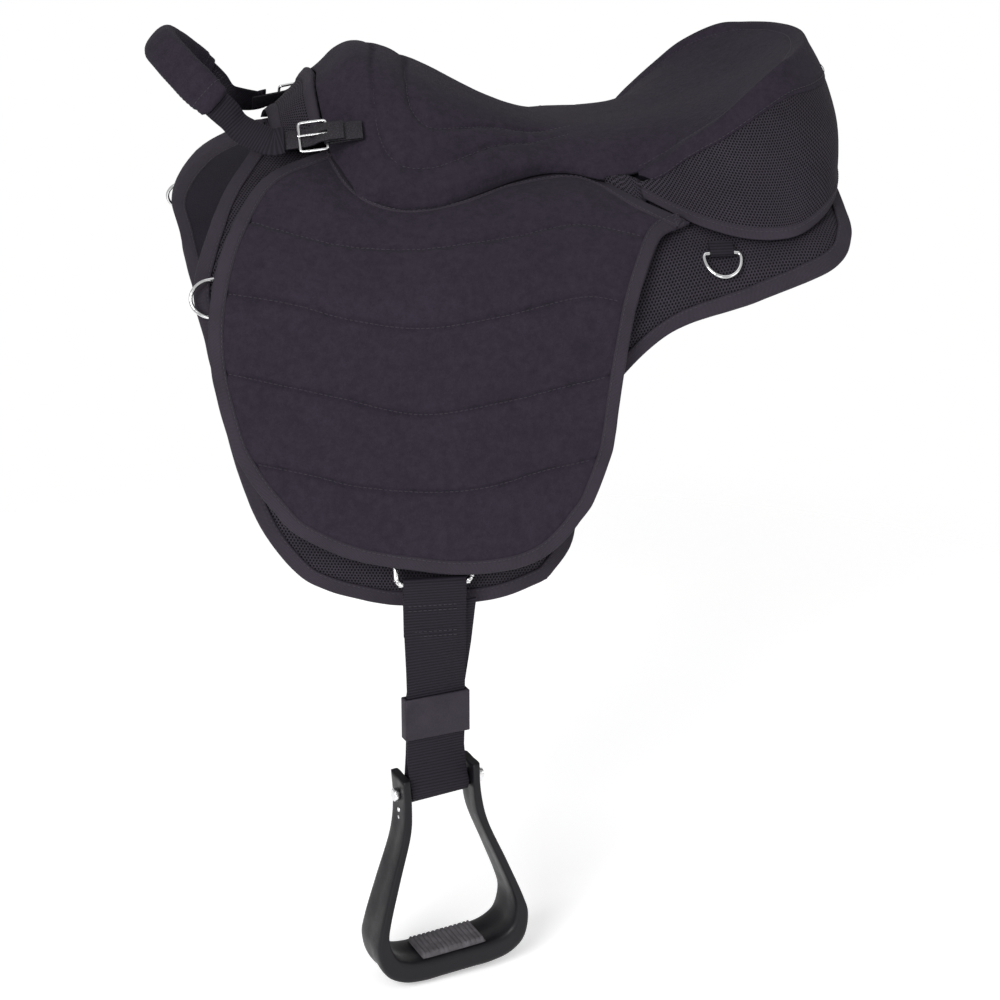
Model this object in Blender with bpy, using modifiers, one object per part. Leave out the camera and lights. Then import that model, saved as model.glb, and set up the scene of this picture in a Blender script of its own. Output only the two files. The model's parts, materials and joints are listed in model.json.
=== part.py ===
"""Treeless saddle with a bound mesh panel, quilted flaps, a grab handle and one hanging stirrup.

Metres, +Z up. The front is towards -X and the near side is towards -Y. The origin is on the
middle plane, on the back that the saddle lies on, under the lowest part of the seat.
"""

import functools
import math

import bmesh
import bpy
from mathutils import Matrix, Vector

# Clearance between pieces that touch, and the distance within which corners are one
FIT = 0.0003
MERGE = 0.0001
NEAR, FAR = -1, 1
SIDES = ((NEAR, "near"), (FAR, "far"))

# The back under the saddle: stations along X, and how each section leaves the spine
BACK_LENGTH = 0.54
BACK_FRONT = -0.305
ARCH_RISE = 0.044
SHELF_WIDTH = 0.115
BEND_REACH = 0.26
SPINE_SHARES = (1.0, 0.68, 0.23, 0.0, 0.0, -0.18)
SHELF_WIDTH_SHARES = (0.61, 0.65, 0.78, 0.91, 1.0, 1.0)
BEND_START_SHARES = (0.38, 0.37, 0.37, 0.37, 0.40, 0.42)
BEND_END_SHARES = (1.0, 0.96, 0.90, 0.87, 0.92, 1.0)
SHELF_ANGLES = (30, 28, 20, 15, 13, 12)
SIDE_ANGLES = (79, 79, 79, 79, 66, 52)
SECTION_REACH = 0.47
SECTION_STEPS = 118

# Thicknesses, from the horse outwards
PANEL_THICKNESS = 0.014
WEBBING_THICKNESS = 0.002
WEBBING_GAP = 0.0012
FLAP_THICKNESS = 0.007
QUILT_PUFF = 0.003
COVER_THICKNESS = 0.003
WALL_THICKNESS = 0.005
BINDING_THICKNESS = 0.001
RING_STEP = 0.0105
TAPE_SHARE = 0.9
PANEL_TAPE_FIT = 0.0008
TAPE_REAR_LINE = 8
TAPE_LAST_COLUMN = 10

# The flap stands off the panel, to leave room for rings and webbing
FLARE_START = 0.13
FLARE_RUN = 0.07
FLARE = 0.007
HEM_FLARE_START = 0.28
HEM_FLARE_RUN = 0.11
HEM_FLARE = 0.010

WEBBING_LEVEL = PANEL_THICKNESS + WEBBING_GAP
FLAP_LEVEL = WEBBING_LEVEL + WEBBING_THICKNESS + 3 * FIT
WALL_LEVEL = FLAP_LEVEL
SEAT_LEVEL = FLAP_LEVEL + FLAP_THICKNESS + QUILT_PUFF + FIT

# Panel outline: rows of (length share, drop share), from the spine down
PANEL_FRONT = -0.309
PANEL_LENGTH = 0.549
PANEL_DROP = 0.434
PANEL_ROW_SHARES = (
    ((0.13, 0.03), (0.34, 0.03), (0.56, 0.03), (0.78, 0.03), (1.00, 0.03)),
    ((0.10, 0.12), (0.34, 0.12), (0.56, 0.12), (0.78, 0.11), (0.99, 0.10)),
    ((0.06, 0.22), (0.33, 0.22), (0.56, 0.22), (0.78, 0.21), (0.98, 0.20)),
    ((0.03, 0.32), (0.31, 0.33), (0.56, 0.33), (0.78, 0.31), (0.97, 0.30)),
    ((0.00, 0.44), (0.29, 0.44), (0.56, 0.43), (0.78, 0.38), (0.96, 0.38)),
    ((0.01, 0.52), (0.29, 0.52), (0.56, 0.49), (0.74, 0.43), (0.92, 0.45)),
    ((0.02, 0.59), (0.29, 0.59), (0.48, 0.55), (0.64, 0.48), (0.80, 0.50)),
    ((0.03, 0.66), (0.29, 0.66), (0.42, 0.61), (0.54, 0.54), (0.67, 0.53)),
    ((0.05, 0.77), (0.29, 0.78), (0.39, 0.74), (0.48, 0.68), (0.57, 0.65)),
    ((0.08, 0.87), (0.29, 0.89), (0.40, 0.87), (0.47, 0.84), (0.54, 0.78)),
    ((0.13, 0.95), (0.29, 0.96), (0.38, 0.95), (0.45, 0.93), (0.53, 0.89)),
    ((0.18, 0.98), (0.26, 1.00), (0.34, 1.00), (0.42, 0.99), (0.49, 0.96)),
)
SPINE_STRIP_HALF_WIDTH = 0.03
SPINE_STRIP_THICKNESS = 0.0022
SPINE_STRIP_FRONT = -0.222
SPINE_STRIP_REAR = 0.205

# Flap outline: rows of (length share, drop share). Rows 2 to 5 are the quilting seams.
FLAP_FRONT = -0.304
FLAP_LENGTH = 0.388
FLAP_DROP = 0.404
FLAP_ROW_SHARES = (
    (
        (0.30, 0.14), (0.34, 0.26), (0.42, 0.30), (0.54, 0.28),
        (0.67, 0.22), (0.81, 0.20), (0.91, 0.31), (1.00, 0.385),
    ),
    ((0.16, 0.23), (0.26, 0.29), (0.36, 0.35), (0.50, 0.35), (0.65, 0.30), (0.80, 0.28), (0.97, 0.39)),
    ((0.08, 0.35), (0.20, 0.38), (0.32, 0.40), (0.46, 0.40), (0.63, 0.38), (0.78, 0.36), (0.93, 0.405)),
    ((0.02, 0.49), (0.17, 0.50), (0.29, 0.52), (0.43, 0.53), (0.59, 0.51), (0.76, 0.48), (0.87, 0.50)),
    ((0.01, 0.62), (0.14, 0.64), (0.26, 0.66), (0.42, 0.69), (0.58, 0.67), (0.72, 0.64), (0.84, 0.62)),
    ((0.05, 0.79), (0.19, 0.81), (0.29, 0.83), (0.44, 0.84), (0.56, 0.83), (0.68, 0.80), (0.81, 0.78)),
    ((0.11, 0.89), (0.17, 0.93), (0.27, 0.97), (0.39, 0.99), (0.51, 1.00), (0.64, 0.98), (0.77, 0.90)),
)
FLAP_SEAM_ROWS = (0, 2, 3, 4, 5, 6)
FOLD_REACH = 0.212
FOLD_MARGIN = 0.007

# Seat: its edge on the flaps, then the cantle's rim above its foot
SEAT_FRONT = -0.198
SEAT_LENGTH = 0.416
SEAT_HALF_WIDTH = 0.132
SEAT_LOW = 0.042
POMMEL_HEIGHT = 0.111
CANTLE_HEIGHT = 0.109
CANTLE_HALF_WIDTH = 0.124
CANTLE_FOOT_WIDTH = 0.175
SEAT_EDGE_SHARES = (
    (0.053, 0.89), (0.084, 0.95), (0.127, 1.00), (0.171, 1.00), (0.226, 0.97),
    (0.298, 0.88), (0.370, 0.76), (0.435, 0.68), (0.486, 0.69), (0.538, 0.76),
)
CANTLE_FOOT_SHARES = (
    (0.60, 0.64), (0.65, 0.78), (0.70, 0.885), (0.77, 0.97), (0.84, 1.00),
    (0.90, 0.97), (0.97, 0.81), (1.02, 0.50), (1.05, 0.00),
)
CANTLE_RIM_SHARES = (
    (0.60, 0.85, 0.16), (0.65, 0.88, 0.22), (0.70, 0.94, 0.38), (0.76, 1.00, 0.55), (0.82, 0.98, 0.73),
    (0.89, 0.84, 0.89), (0.94, 0.65, 0.94), (0.98, 0.37, 0.98), (1.00, 0.00, 1.00),
)
CANTLE_SIDE_COUNT = 6
POMMEL_EDGE_SHARES = ((0.030, 0.68), (0.014, 0.52))
POMMEL_RIM_SHARES = ((0.004, 0.44, 0.55), (0.0, 0.26, 0.72), (0.008, 0.0, 0.775))
SEAT_PROFILE_SHARES = (
    (0.01, 0.64), (0.03, 0.83), (0.06, 0.94), (0.08, 1.00), (0.11, 1.00), (0.14, 0.96), (0.19, 0.81),
    (0.23, 0.68), (0.30, 0.43), (0.37, 0.22), (0.42, 0.10), (0.46, 0.04), (0.53, 0.01), (0.59, 0.00),
)
BOWL_PROFILE_SHARES = ((0.67, 0.06), (0.76, 0.22), (0.86, 0.51), (0.94, 0.84), (1.00, 1.00))
CROWN_SHARES = ((2.0, 0.80), (2.3, 0.62), (3.0, 1.00))
CROWN_CHANGE_SHARES = ((0.14, 0.38), (0.52, 0.72))
END_PULL_SHARES = (0.16, 0.30)
SEAM_ACROSS_SHARES = (0.22, 0.46)
SEAM_ALONG_SHARES = (0.10, 0.17)
SEAM_DEPTH = 0.0025
CORE_TRIM_SHARE = 0.04
CORE_GAP_SHARE = 0.002
CORE_CLEARANCE = 0.0016
LEAST_CORE = 0.001
RIM_CENTRE_SHARE = 0.70
PIPING_RADIUS = 0.0018
WALL_TRIM_SHARE = 0.012
COLLAR_SAG = 0.003
CORE_SPLIT_SHARES = (0.02, 0.16, 0.62, 0.975)
BASE_ALONG_SHARES = (0.0, 1.0)
SEAT_BASE_FRONT = -0.188
SEAT_BASE_REAR = 0.205
SEAT_BASE_HALF_WIDTH = 0.112
SEAT_BASE_WIDTH_SHARES = (
    (0.0, 0.42), (0.04, 0.80), (0.12, 0.98), (0.237, 0.93), (0.30, 0.80), (0.366, 0.70), (0.435, 0.63),
    (0.504, 0.60), (0.56, 0.66), (0.603, 0.76), (0.66, 0.88), (0.80, 0.95), (1.0, 0.60),
)
SEAT_BASE_THICKNESS = 0.0095
WALL_START_SHARE = 0.60
WALL_BULGE = 0.012
RIM_BAND_SIDE = 0.011
RIM_BAND_REAR = 0.032

# Mesh collar in front of the pommel
COLLAR_FRONT = -0.234
COLLAR_HALF_WIDTH = 0.054
COLLAR_TRIM_SHARE = 0.26
COLLAR_SETBACK = 0.002

# Webbing, rings and straps
STIRRUP_WEBBING_WIDTH = 0.05
STIRRUP_X = -0.135
HANGER_TOP = 0.108
GIRTH_WEBBING_WIDTH = 0.025
GIRTH_STRAP_XS = (-0.078, -0.036)
GIRTH_STRAP_TOP = 0.07
GIRTH_STRAP_END = 0.33
RING_WIRE = 0.0045
RING_WIDTH = 0.060
RING_HEIGHT = 0.040
RING_TOP = 0.374
RING_CORNER = 0.006
HANGER_LAP = 0.032
RING_LEAN = 18
SMALL_RING_WIRE = 0.003
SMALL_RING_WIDTH = 0.030
SMALL_RING_HEIGHT = 0.022
TAB_THICKNESS = 0.0012
SMALL_RING_CORNER = 0.004
TAB_INSET = 0.0015
FRONT_TAB_LENGTH = 0.028
REAR_TAB_LENGTH = 0.010
REAR_RING_X = 0.106
REAR_RING_TOP = 0.180
FRONT_RING_X = -0.291
FRONT_RING_S = 0.200

# Stirrup strap and stirrup
STRAP_DROP = 0.176
STRAP_TWIST = 15
STRAP_ROLL = 3
STRAP_ROLL_RUN = 0.022
STRAP_LAP = 0.045
STRAP_TWIST_START = 0.02
STRAP_TWIST_RUN = 0.07
STRAP_TAIL_END = 0.098
STRAP_TAIL_RISE = 0.012
STRAP_TAIL_TOP = 0.055
STRAP_TAIL_TIP = 0.022
STRAP_TAIL_SHIFT = 0.009
STRAP_TAIL_SLANT = 0.012
KEEPER_HEIGHT = 0.036
KEEPER_DROP = 0.113
KEEPER_WALL = 0.0022
SLEEVE_RADIUS = 0.007
BOLT_RADIUS = 0.004
STIRRUP_DEPTH_TOP = 0.028
STIRRUP_DEPTH = 0.044
STIRRUP_HEIGHT = 0.182
STIRRUP_HALF_WIDTH = 0.068
STIRRUP_RISE = 0.016
STIRRUP_OUTER_SHARES = (
    (0.50, 0.0), (0.50, 0.14), (0.57, 0.30), (0.78, 0.52), (0.95, 0.71), (1.00, 0.81), (0.92, 0.92),
    (0.72, 0.98), (0.45, 1.0), (0.22, 1.0), (0.0, 1.0),
)
STIRRUP_INNER_SHARES = (
    (0.40, 0.0), (0.40, 0.14), (0.44, 0.27), (0.62, 0.47), (0.79, 0.66), (0.83, 0.75), (0.76, 0.84),
    (0.60, 0.88), (0.40, 0.893), (0.20, 0.895), (0.0, 0.895),
)
STIRRUP_EDGE = 0.0018
TREAD_PAD_TURN = 0.105
TREAD_PAD_SHARE = 0.8
TREAD_PAD_THICKNESS = 0.003

# Grab handle
HANDLE_FOLD_X = -0.2285
HANDLE_FOLD_Z = 0.0455
HANDLE_PIVOT_X = -0.240
HANDLE_PIVOT_Y = 0.090
HANDLE_PIVOT_Z = 0.040
HANDLE_WIDTH = 0.024
HANDLE_LENGTH = 0.080
HANDLE_RISE = 0.072
HANDLE_SPOT_SHARES = (
    (0.27, 0.80, 0.20), (0.40, 0.77, 0.36), (0.52, 0.755, 0.49),
    (0.66, 0.69, 0.64), (0.80, 0.56, 0.79), (0.92, 0.36, 0.92), (0.985, 0.16, 0.985), (1.0, 0.0, 1.0),
)
HANDLE_TWIST_SHARE = 0.20
HANDLE_LAP_SHARE = 0.06
HANDLE_LAP = 0.012
GRIP_START_SHARE = 0.215
GRIP_HEIGHT = 0.031
GRIP_DEPTH = 0.018
GRIP_SLIT = 0.00025
GRIP_SLIT_ANGLE = 2

# Buckles
BILLET_WIDTH = 0.016
BILLET_THICKNESS = 0.0016
BILLET_END = 0.014
BILLET_REACH = 0.024
CHAPE_LENGTH = 0.0285
BUCKLE_X = -0.196
BUCKLE_Y = 0.093
BUCKLE_Z = 0.052
BUCKLE_TILT_SHARE = 0.9
BUCKLE_TOE_SHARE = -0.25
BUCKLE_WIDTH = 0.026
BUCKLE_LENGTH = 0.022
BUCKLE_CORNER = 0.003
BUCKLE_WIRE = 0.0024
PRONG_WIRE = 0.0018
REAR_BUCKLE_X = 0.252
REAR_BUCKLE_Z = -0.015
REAR_STRAP_START = 0.212
REAR_STRAP_BEND = 0.238
REAR_STRAP_LEVEL = 0.012


def clear_scene():
    for obj in list(bpy.data.objects):
        bpy.data.objects.remove(obj, do_unlink=True)


def collection(name, hidden=False):
    made = bpy.data.collections.new(name)
    made.hide_render = hidden
    bpy.context.scene.collection.children.link(made)
    return made


clear_scene()
PARTS = collection("treeless saddle")
CUTTERS = collection("cutters", True)
MATERIALS = {}


def material(name, colour, roughness, metallic=0.0):
    made = bpy.data.materials.new(name)
    made.use_nodes = True
    shader = made.node_tree.nodes["Principled BSDF"]
    shader.inputs["Base Color"].default_value = (*colour, 1.0)
    shader.inputs["Roughness"].default_value = roughness
    shader.inputs["Metallic"].default_value = metallic
    made.diffuse_color = (*colour, 1.0)
    MATERIALS[name] = made


material("suede", (0.030, 0.030, 0.032), 0.9)
material("mesh_fabric", (0.045, 0.045, 0.048), 0.95)
material("lining", (0.022, 0.022, 0.024), 0.8)
material("foam", (0.25, 0.25, 0.27), 1.0)
material("tape", (0.020, 0.020, 0.022), 0.7)
material("webbing", (0.016, 0.016, 0.018), 0.75)
material("chrome", (0.75, 0.75, 0.77), 0.15, 1.0)
material("plastic", (0.014, 0.014, 0.015), 0.35)
material("rubber", (0.020, 0.020, 0.020), 0.8)
material("strap", (0.018, 0.018, 0.019), 0.5)


def add(name, mesh, slot, matrix=None, home=PARTS):
    obj = bpy.data.objects.new(name, mesh)
    home.objects.link(obj)
    obj.data.materials.append(MATERIALS[slot])
    if home is CUTTERS:
        obj.display_type = "WIRE"
        obj.hide_render = True
    if matrix is not None:
        obj.matrix_world = matrix
    return obj


def mesh_from(name, work):
    bmesh.ops.recalc_face_normals(work, faces=work.faces)
    if work.calc_volume(signed=True) < 0:
        bmesh.ops.reverse_faces(work, faces=work.faces)
    mesh = bpy.data.meshes.new(name)
    work.to_mesh(mesh)
    work.free()
    return mesh


def clamp(value):
    return min(max(value, 0.0), 1.0)


def ease(value):
    kept = clamp(value)
    return kept * kept * (3 - 2 * kept)


def mix(first, second, share):
    return first * (1 - share) + second * share


def smooth(values, share):
    """The value this share of the way along evenly spaced values, on a curve through all of them."""
    last = len(values) - 1
    index = min(max(math.floor(share * last), 0), last - 1)
    part = share * last - index
    before = values[index - 1] if index > 0 else values[0] * 2 - values[1]
    after = values[index + 2] if index + 2 <= last else values[last] * 2 - values[last - 1]
    start, end = values[index], values[index + 1]
    slope = (end - before) * 0.5
    next_slope = (after - start) * 0.5
    bend = (end - start) * 3 - slope * 2 - next_slope
    twist = (start - end) * 2 + slope + next_slope
    return start + slope * part + bend * part ** 2 + twist * part ** 3


def smooth_row(row, share):
    return Vector(smooth([Vector(item) for item in row], share))


def profile(table, place):
    """A height read off a table of (place, height), straight between its points."""
    if place <= table[0][0]:
        return table[0][1]
    for (start, low), (end, high) in zip(table, table[1:]):
        if place <= end:
            return mix(low, high, (place - start) / (end - start))
    return table[-1][1]


def smooth_profile(table, place):
    """The same, averaged over a short run so that it has no corners."""
    offsets = (-0.03, -0.02, -0.01, 0.0, 0.01, 0.02, 0.03)
    return sum(profile(table, place + offset) for offset in offsets) / len(offsets)


# The back


@functools.lru_cache(maxsize=None)
def station(x):
    share = (x - BACK_FRONT) / BACK_LENGTH
    return (
        smooth(SPINE_SHARES, share) * ARCH_RISE,
        math.radians(smooth(SHELF_ANGLES, share)),
        math.radians(smooth(SIDE_ANGLES, share)),
        smooth(SHELF_WIDTH_SHARES, share) * SHELF_WIDTH,
        smooth(BEND_START_SHARES, share) * BEND_REACH,
        smooth(BEND_END_SHARES, share) * BEND_REACH,
    )


def back_angle(x, reach):
    _, shelf, side, width, start, end = station(x)
    turn = ease((reach - start) / (end - start))
    return shelf * math.sin(clamp(reach / width) * math.pi / 2) + (side - shelf) * turn


@functools.lru_cache(maxsize=None)
def section(x):
    step = SECTION_REACH / SECTION_STEPS
    y, z = 0.0, station(x)[0]
    points = [(y, z)]
    for index in range(SECTION_STEPS):
        angle = back_angle(x, (index + 0.5) * step)
        y += math.cos(angle) * step
        z -= math.sin(angle) * step
        points.append((y, z))
    return points


def on_back(x, reach, level=0.0):
    """The point this far down the side, negative on the near one, and this far off the back."""
    side = -1 if reach < 0 else 1
    reach = abs(reach)
    place = reach / SECTION_REACH * SECTION_STEPS
    index = min(int(place), SECTION_STEPS - 1)
    (y0, z0), (y1, z1) = section(x)[index : index + 2]
    angle = back_angle(x, reach)
    y = mix(y0, y1, place - index) + level * math.sin(angle)
    z = mix(z0, z1, place - index) + level * math.cos(angle)
    return Vector((x, side * y, z))


def back_normal(x, reach):
    angle = back_angle(x, abs(reach))
    side = -1 if reach < 0 else 1
    return Vector((0.0, side * math.sin(angle), math.cos(angle)))


def level_height(x, y, level):
    """Height of the surface at this level above the back, over a given place."""
    low, high = 0.0, SECTION_REACH
    for _ in range(24):
        middle = (low + high) / 2
        if on_back(x, middle, level).y < abs(y):
            low = middle
        else:
            high = middle
    return on_back(x, low, level).z


# Makers of solids


def slab(name, slot, across, along, place, home=PARTS):
    """A grid and its copy, joined round their edges, with every corner put where place(u, v, top) says."""
    work = bmesh.new()
    bmesh.ops.create_grid(work, x_segments=across, y_segments=along, size=1)
    lifted = bmesh.ops.extrude_face_region(work, geom=work.faces[:], use_keep_orig=True)
    for item in lifted["geom"]:
        if isinstance(item, bmesh.types.BMVert):
            item.co.z = 1
    for corner in work.verts:
        u, v, top = corner.co
        corner.co = place((u + 1) / 2, (v + 1) / 2, top)
    return add(name, mesh_from(name, work), slot, home=home)


def lofted(name, slot, rings, closed=False, home=PARTS):
    """Rings of the same count of corners, skinned into one body, with its ends capped unless it is closed."""
    work = bmesh.new()
    made = [[work.verts.new(corner) for corner in ring] for ring in rings]
    following = made[1:] + made[:1] if closed else made[1:]
    for ring, other in zip(made, following):
        for index in range(len(ring)):
            after = (index + 1) % len(ring)
            work.faces.new((ring[index], ring[after], other[after], other[index]))
    if not closed:
        work.faces.new(made[0][::-1])
        work.faces.new(made[-1])
    return add(name, mesh_from(name, work), slot, home=home)


def wire(name, slot, points, radius, closed=False, matrix=None):
    curve = bpy.data.curves.new(name, "CURVE")
    curve.dimensions = "3D"
    curve.bevel_depth = radius
    curve.bevel_resolution = 2
    curve.use_fill_caps = not closed
    line = curve.splines.new("POLY")
    line.points.add(len(points) - 1)
    for point, place in zip(line.points, points):
        point.co = (*place, 1.0)
    line.use_cyclic_u = closed
    return add(name, curve, slot, matrix)


def turned(name, slot, outline, matrix, steps=20, home=PARTS):
    """A profile of (radius, height) turned about Z. It starts and ends on the axis, or closes on itself."""
    work = bmesh.new()
    corners = [work.verts.new((radius, 0.0, height)) for radius, height in outline]
    for start, end in zip(corners, corners[1:]):
        work.edges.new((start, end))
    if outline[0][0] > 0:
        work.edges.new((corners[-1], corners[0]))
    mesh = bpy.data.meshes.new(name)
    work.to_mesh(mesh)
    work.free()
    obj = add(name, mesh, slot, matrix, home)
    screw = obj.modifiers.new("Turn", "SCREW")
    screw.axis = "Z"
    screw.steps = steps
    screw.render_steps = steps
    screw.use_merge_vertices = True
    screw.merge_threshold = MERGE
    screw.use_normal_flip = True
    return obj


def axes_at(origin, right, up):
    """A matrix with X to the right, Z outwards and Y up."""
    out = right.cross(up).normalized()
    right = right.normalized()
    up = out.cross(right)
    matrix = Matrix((right, up, out)).transposed().to_4x4()
    matrix.translation = origin
    return matrix


def bevel(obj, width, segments=2):
    made = obj.modifiers.new("Bevel", "BEVEL")
    made.width = width
    made.segments = segments
    made.limit_method = "ANGLE"
    made.angle_limit = math.radians(40)
    return made


def cut(obj, cutter):
    made = obj.modifiers.new("Cut " + cutter.name, "BOOLEAN")
    made.operation = "DIFFERENCE"
    made.solver = "EXACT"
    made.object = cutter


def strip(name, slot, width, thickness, path, matrix=None, across=1, sideways=None, slant=0.0):
    """A flat strap bent along a path of (up, out) in the plane across its width."""
    spots = [Vector(spot) for spot in path]
    normals = []
    for index in range(len(spots)):
        ahead = spots[min(index + 1, len(spots) - 1)] - spots[max(index - 1, 0)]
        normals.append(Vector((-ahead.y, ahead.x)).normalized())

    def place(u, v, top):
        index = round(v * (len(spots) - 1))
        spot = spots[index] + normals[index] * thickness * (top - 0.5)
        x = (u - 0.5) * width
        if index == len(spots) - 1:
            spot.x += slant * (u - 0.5)
        shift = sideways(v) if sideways else 0.0
        return Vector((x + shift, spot.x, spot.y))

    obj = slab(name, slot, across, len(spots) - 1, place)
    if matrix is not None:
        obj.matrix_world = matrix
    return obj


def arc(centre, radius, start, end, count):
    """Points of (up, out) round a centre, by angles in degrees from up towards out."""
    up, out = centre
    places = []
    for index in range(count + 1):
        angle = math.radians(mix(start, end, index / count))
        places.append((up + radius * math.cos(angle), out + radius * math.sin(angle)))
    return places


# Sheets on the back


def spread(place, u, v, along_u, along_v):
    """The share that moves one tape's width inwards from here."""
    step = 0.04
    x0, s0 = place(u, v)
    x1, s1 = place(u + along_u * step, v + along_v * step)
    return step * RING_STEP / math.hypot(x1 - x0, s1 - s0)


def lines(index, count, low, high):
    """Shares of a grid's lines, with the first and last line one tape's width inside the edge."""
    if index == 0:
        return 0.0
    if index == count:
        return 1.0
    return mix(low, 1 - high, (index - 1) / (count - 2))


def folded_tape(name, spots, point, thickness, fit=FIT):
    """Tape round a sheet's edge. Each spot is (edge corner, inner corner) of the sheet's own grid."""
    levels = (thickness + fit + BINDING_THICKNESS, thickness + fit, -fit, -fit - BINDING_THICKNESS)
    rings = []
    for index, (edge, inner) in enumerate(spots):
        before, after = spots[max(index - 1, 0)][0], spots[min(index + 1, len(spots) - 1)][0]
        ahead = (point(*after, 0.0) - point(*before, 0.0)).normalized()
        inside = []
        outside = []
        for order, level in enumerate(levels):
            start, end = point(*edge, level), point(*inner, level)
            inward = end - start
            inward = (inward - ahead * inward.dot(ahead)).normalized()
            skin = fit + (BINDING_THICKNESS if order in (0, 3) else 0.0)
            inside.append(mix(start, end, TAPE_SHARE))
            outside.append(start - inward * skin)
        rings.append([
            inside[0], outside[0], outside[3], inside[3],
            inside[2], outside[2], outside[1], inside[1],
        ])
    return lofted(name, "tape", rings)


# Panel

PANEL_COLUMNS, PANEL_LINES = 15, 14


def panel_place(u, v):
    spot = smooth([smooth_row(row, u) for row in PANEL_ROW_SHARES], v)
    return PANEL_FRONT + spot.x * PANEL_LENGTH, spot.y * PANEL_DROP


@functools.lru_cache(maxsize=None)
def panel_spot(column, line):
    rough_u, rough_v = column / PANEL_COLUMNS, line / PANEL_LINES
    front = spread(panel_place, 0.0, rough_v, 1, 0)
    rear = spread(panel_place, 1.0, rough_v, -1, 0)
    bottom = spread(panel_place, rough_u, 1.0, 0, -1)
    u = lines(column, PANEL_COLUMNS, front, rear)
    v = 1.0 if line == PANEL_LINES else (1 - bottom) * line / (PANEL_LINES - 1)
    if column not in (1, PANEL_COLUMNS - 1) or not 0 < line < PANEL_LINES - 1:
        return panel_place(u, v)
    edge = 0 if column == 1 else PANEL_COLUMNS
    here, before, after = (Vector(panel_spot(edge, line + move)) for move in (0, -1, 1))
    inward = Vector((after.y - before.y, before.x - after.x)).normalized()
    room = inward.dot(Vector(panel_spot(2 * column - edge, line)) - here)
    return tuple(here + inward * math.copysign(min(RING_STEP, abs(room) / 2), room))


def panel_point(side, column, line, level):
    x, reach = panel_spot(column, line)
    return on_back(x, side * reach, level)


def make_panel(side, word):
    def place(u, v, top):
        return panel_point(side, round(u * PANEL_COLUMNS), round(v * PANEL_LINES), top * PANEL_THICKNESS)

    def corner(column, line, level):
        return panel_point(side, column, line, level)

    slab("panel_" + word, "mesh_fabric", PANEL_COLUMNS, PANEL_LINES, place)
    last, end = PANEL_COLUMNS, PANEL_LINES
    spots = [((0, line), (1, line)) for line in range(1, end)]
    spots += [((0, end), (1, end - 1))]
    spots += [((column, end), (column, end - 1)) for column in range(1, last)]
    spots += [((last, end), (last - 1, end - 1))]
    spots += [((last, line), (last - 1, line)) for line in range(end - 1, TAPE_REAR_LINE, -1)]
    folded_tape("panel_binding_" + word, spots, corner, PANEL_THICKNESS, PANEL_TAPE_FIT)


# Flap, cut by its fold into a yoke that stays and a skirt that lifts

FLAP_COLUMNS, FLAP_LINES = 16, 17


def flap_place(u, row):
    spot = smooth([smooth_row(each, u) for each in FLAP_ROW_SHARES], row / (len(FLAP_ROW_SHARES) - 1))
    return FLAP_FRONT + spot.x * FLAP_LENGTH, spot.y * FLAP_DROP


@functools.lru_cache(maxsize=None)
def flap_spot(column, line):
    """(x, reach, puff) of a corner: three lines to each channel, and a flat ring for the tape."""
    last_row = len(FLAP_ROW_SHARES) - 1
    rough_u, rough_row = column / FLAP_COLUMNS, line / FLAP_LINES * last_row

    def shares(u, row):
        return flap_place(u, row * last_row)

    rough_v = rough_row / last_row
    front = spread(shares, 0.0, rough_v, 1, 0)
    rear = spread(shares, 1.0, rough_v, -1, 0)
    top = spread(shares, rough_u, 0.0, 0, 1) * last_row
    bottom = last_row - spread(shares, rough_u, 1.0, 0, -1) * last_row
    seams = (top, 2, 3, 4, 5, bottom)
    if line == 0:
        row, part = 0.0, 0.0
    elif line == FLAP_LINES:
        row, part = last_row, 0.0
    else:
        channel, part = divmod((line - 1) / 3, 1)
        if channel == 5:
            row, part = bottom, 0.0
        else:
            row = mix(seams[int(channel)], seams[int(channel) + 1], part)
    u = lines(column, FLAP_COLUMNS, front, rear)
    edge = min(column, FLAP_COLUMNS - column)
    puff = 4 * part * (1 - part) * (0.0, 0.0, 0.7, 1.0)[min(edge, 3)]
    return (*flap_place(u, row), puff)


def flare(reach):
    hem = ease((reach - HEM_FLARE_START) / HEM_FLARE_RUN) * HEM_FLARE
    return ease((reach - FLARE_START) / FLARE_RUN) * FLARE + hem


def flap_point(side, column, line, level, puffed=0.0):
    x, reach, puff = flap_spot(column, line)
    return on_back(x, side * reach, FLAP_LEVEL + flare(reach) + level + puff * QUILT_PUFF * puffed)


def fold_axis(side):
    """A point on the skirt's fold line, just off the flap's face, and the way down the flap there."""
    reach = side * FOLD_REACH
    level = FLAP_LEVEL + flare(FOLD_REACH) + FLAP_THICKNESS + QUILT_PUFF + FOLD_MARGIN
    angle = back_angle(STIRRUP_X, FOLD_REACH)
    return on_back(STIRRUP_X, reach, level), Vector((0, side * math.cos(angle), -math.sin(angle)))


def part_by_fold(obj, lower, side):
    """Keeps what is above the fold, or below it, and closes the cut."""
    work = bmesh.new()
    work.from_mesh(obj.data)
    point, down = fold_axis(side)
    found = bmesh.ops.bisect_plane(
        work,
        geom=work.verts[:] + work.edges[:] + work.faces[:],
        plane_co=point + down * (FIT if lower else -FIT) / 2,
        plane_no=-down if lower else down,
        clear_outer=True,
    )
    rim = [item for item in found["geom_cut"] if isinstance(item, bmesh.types.BMEdge)]
    bmesh.ops.edgeloop_fill(work, edges=rim)
    bmesh.ops.recalc_face_normals(work, faces=work.faces)
    if work.calc_volume(signed=True) < 0:
        bmesh.ops.reverse_faces(work, faces=work.faces)
    work.to_mesh(obj.data)
    work.free()


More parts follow.
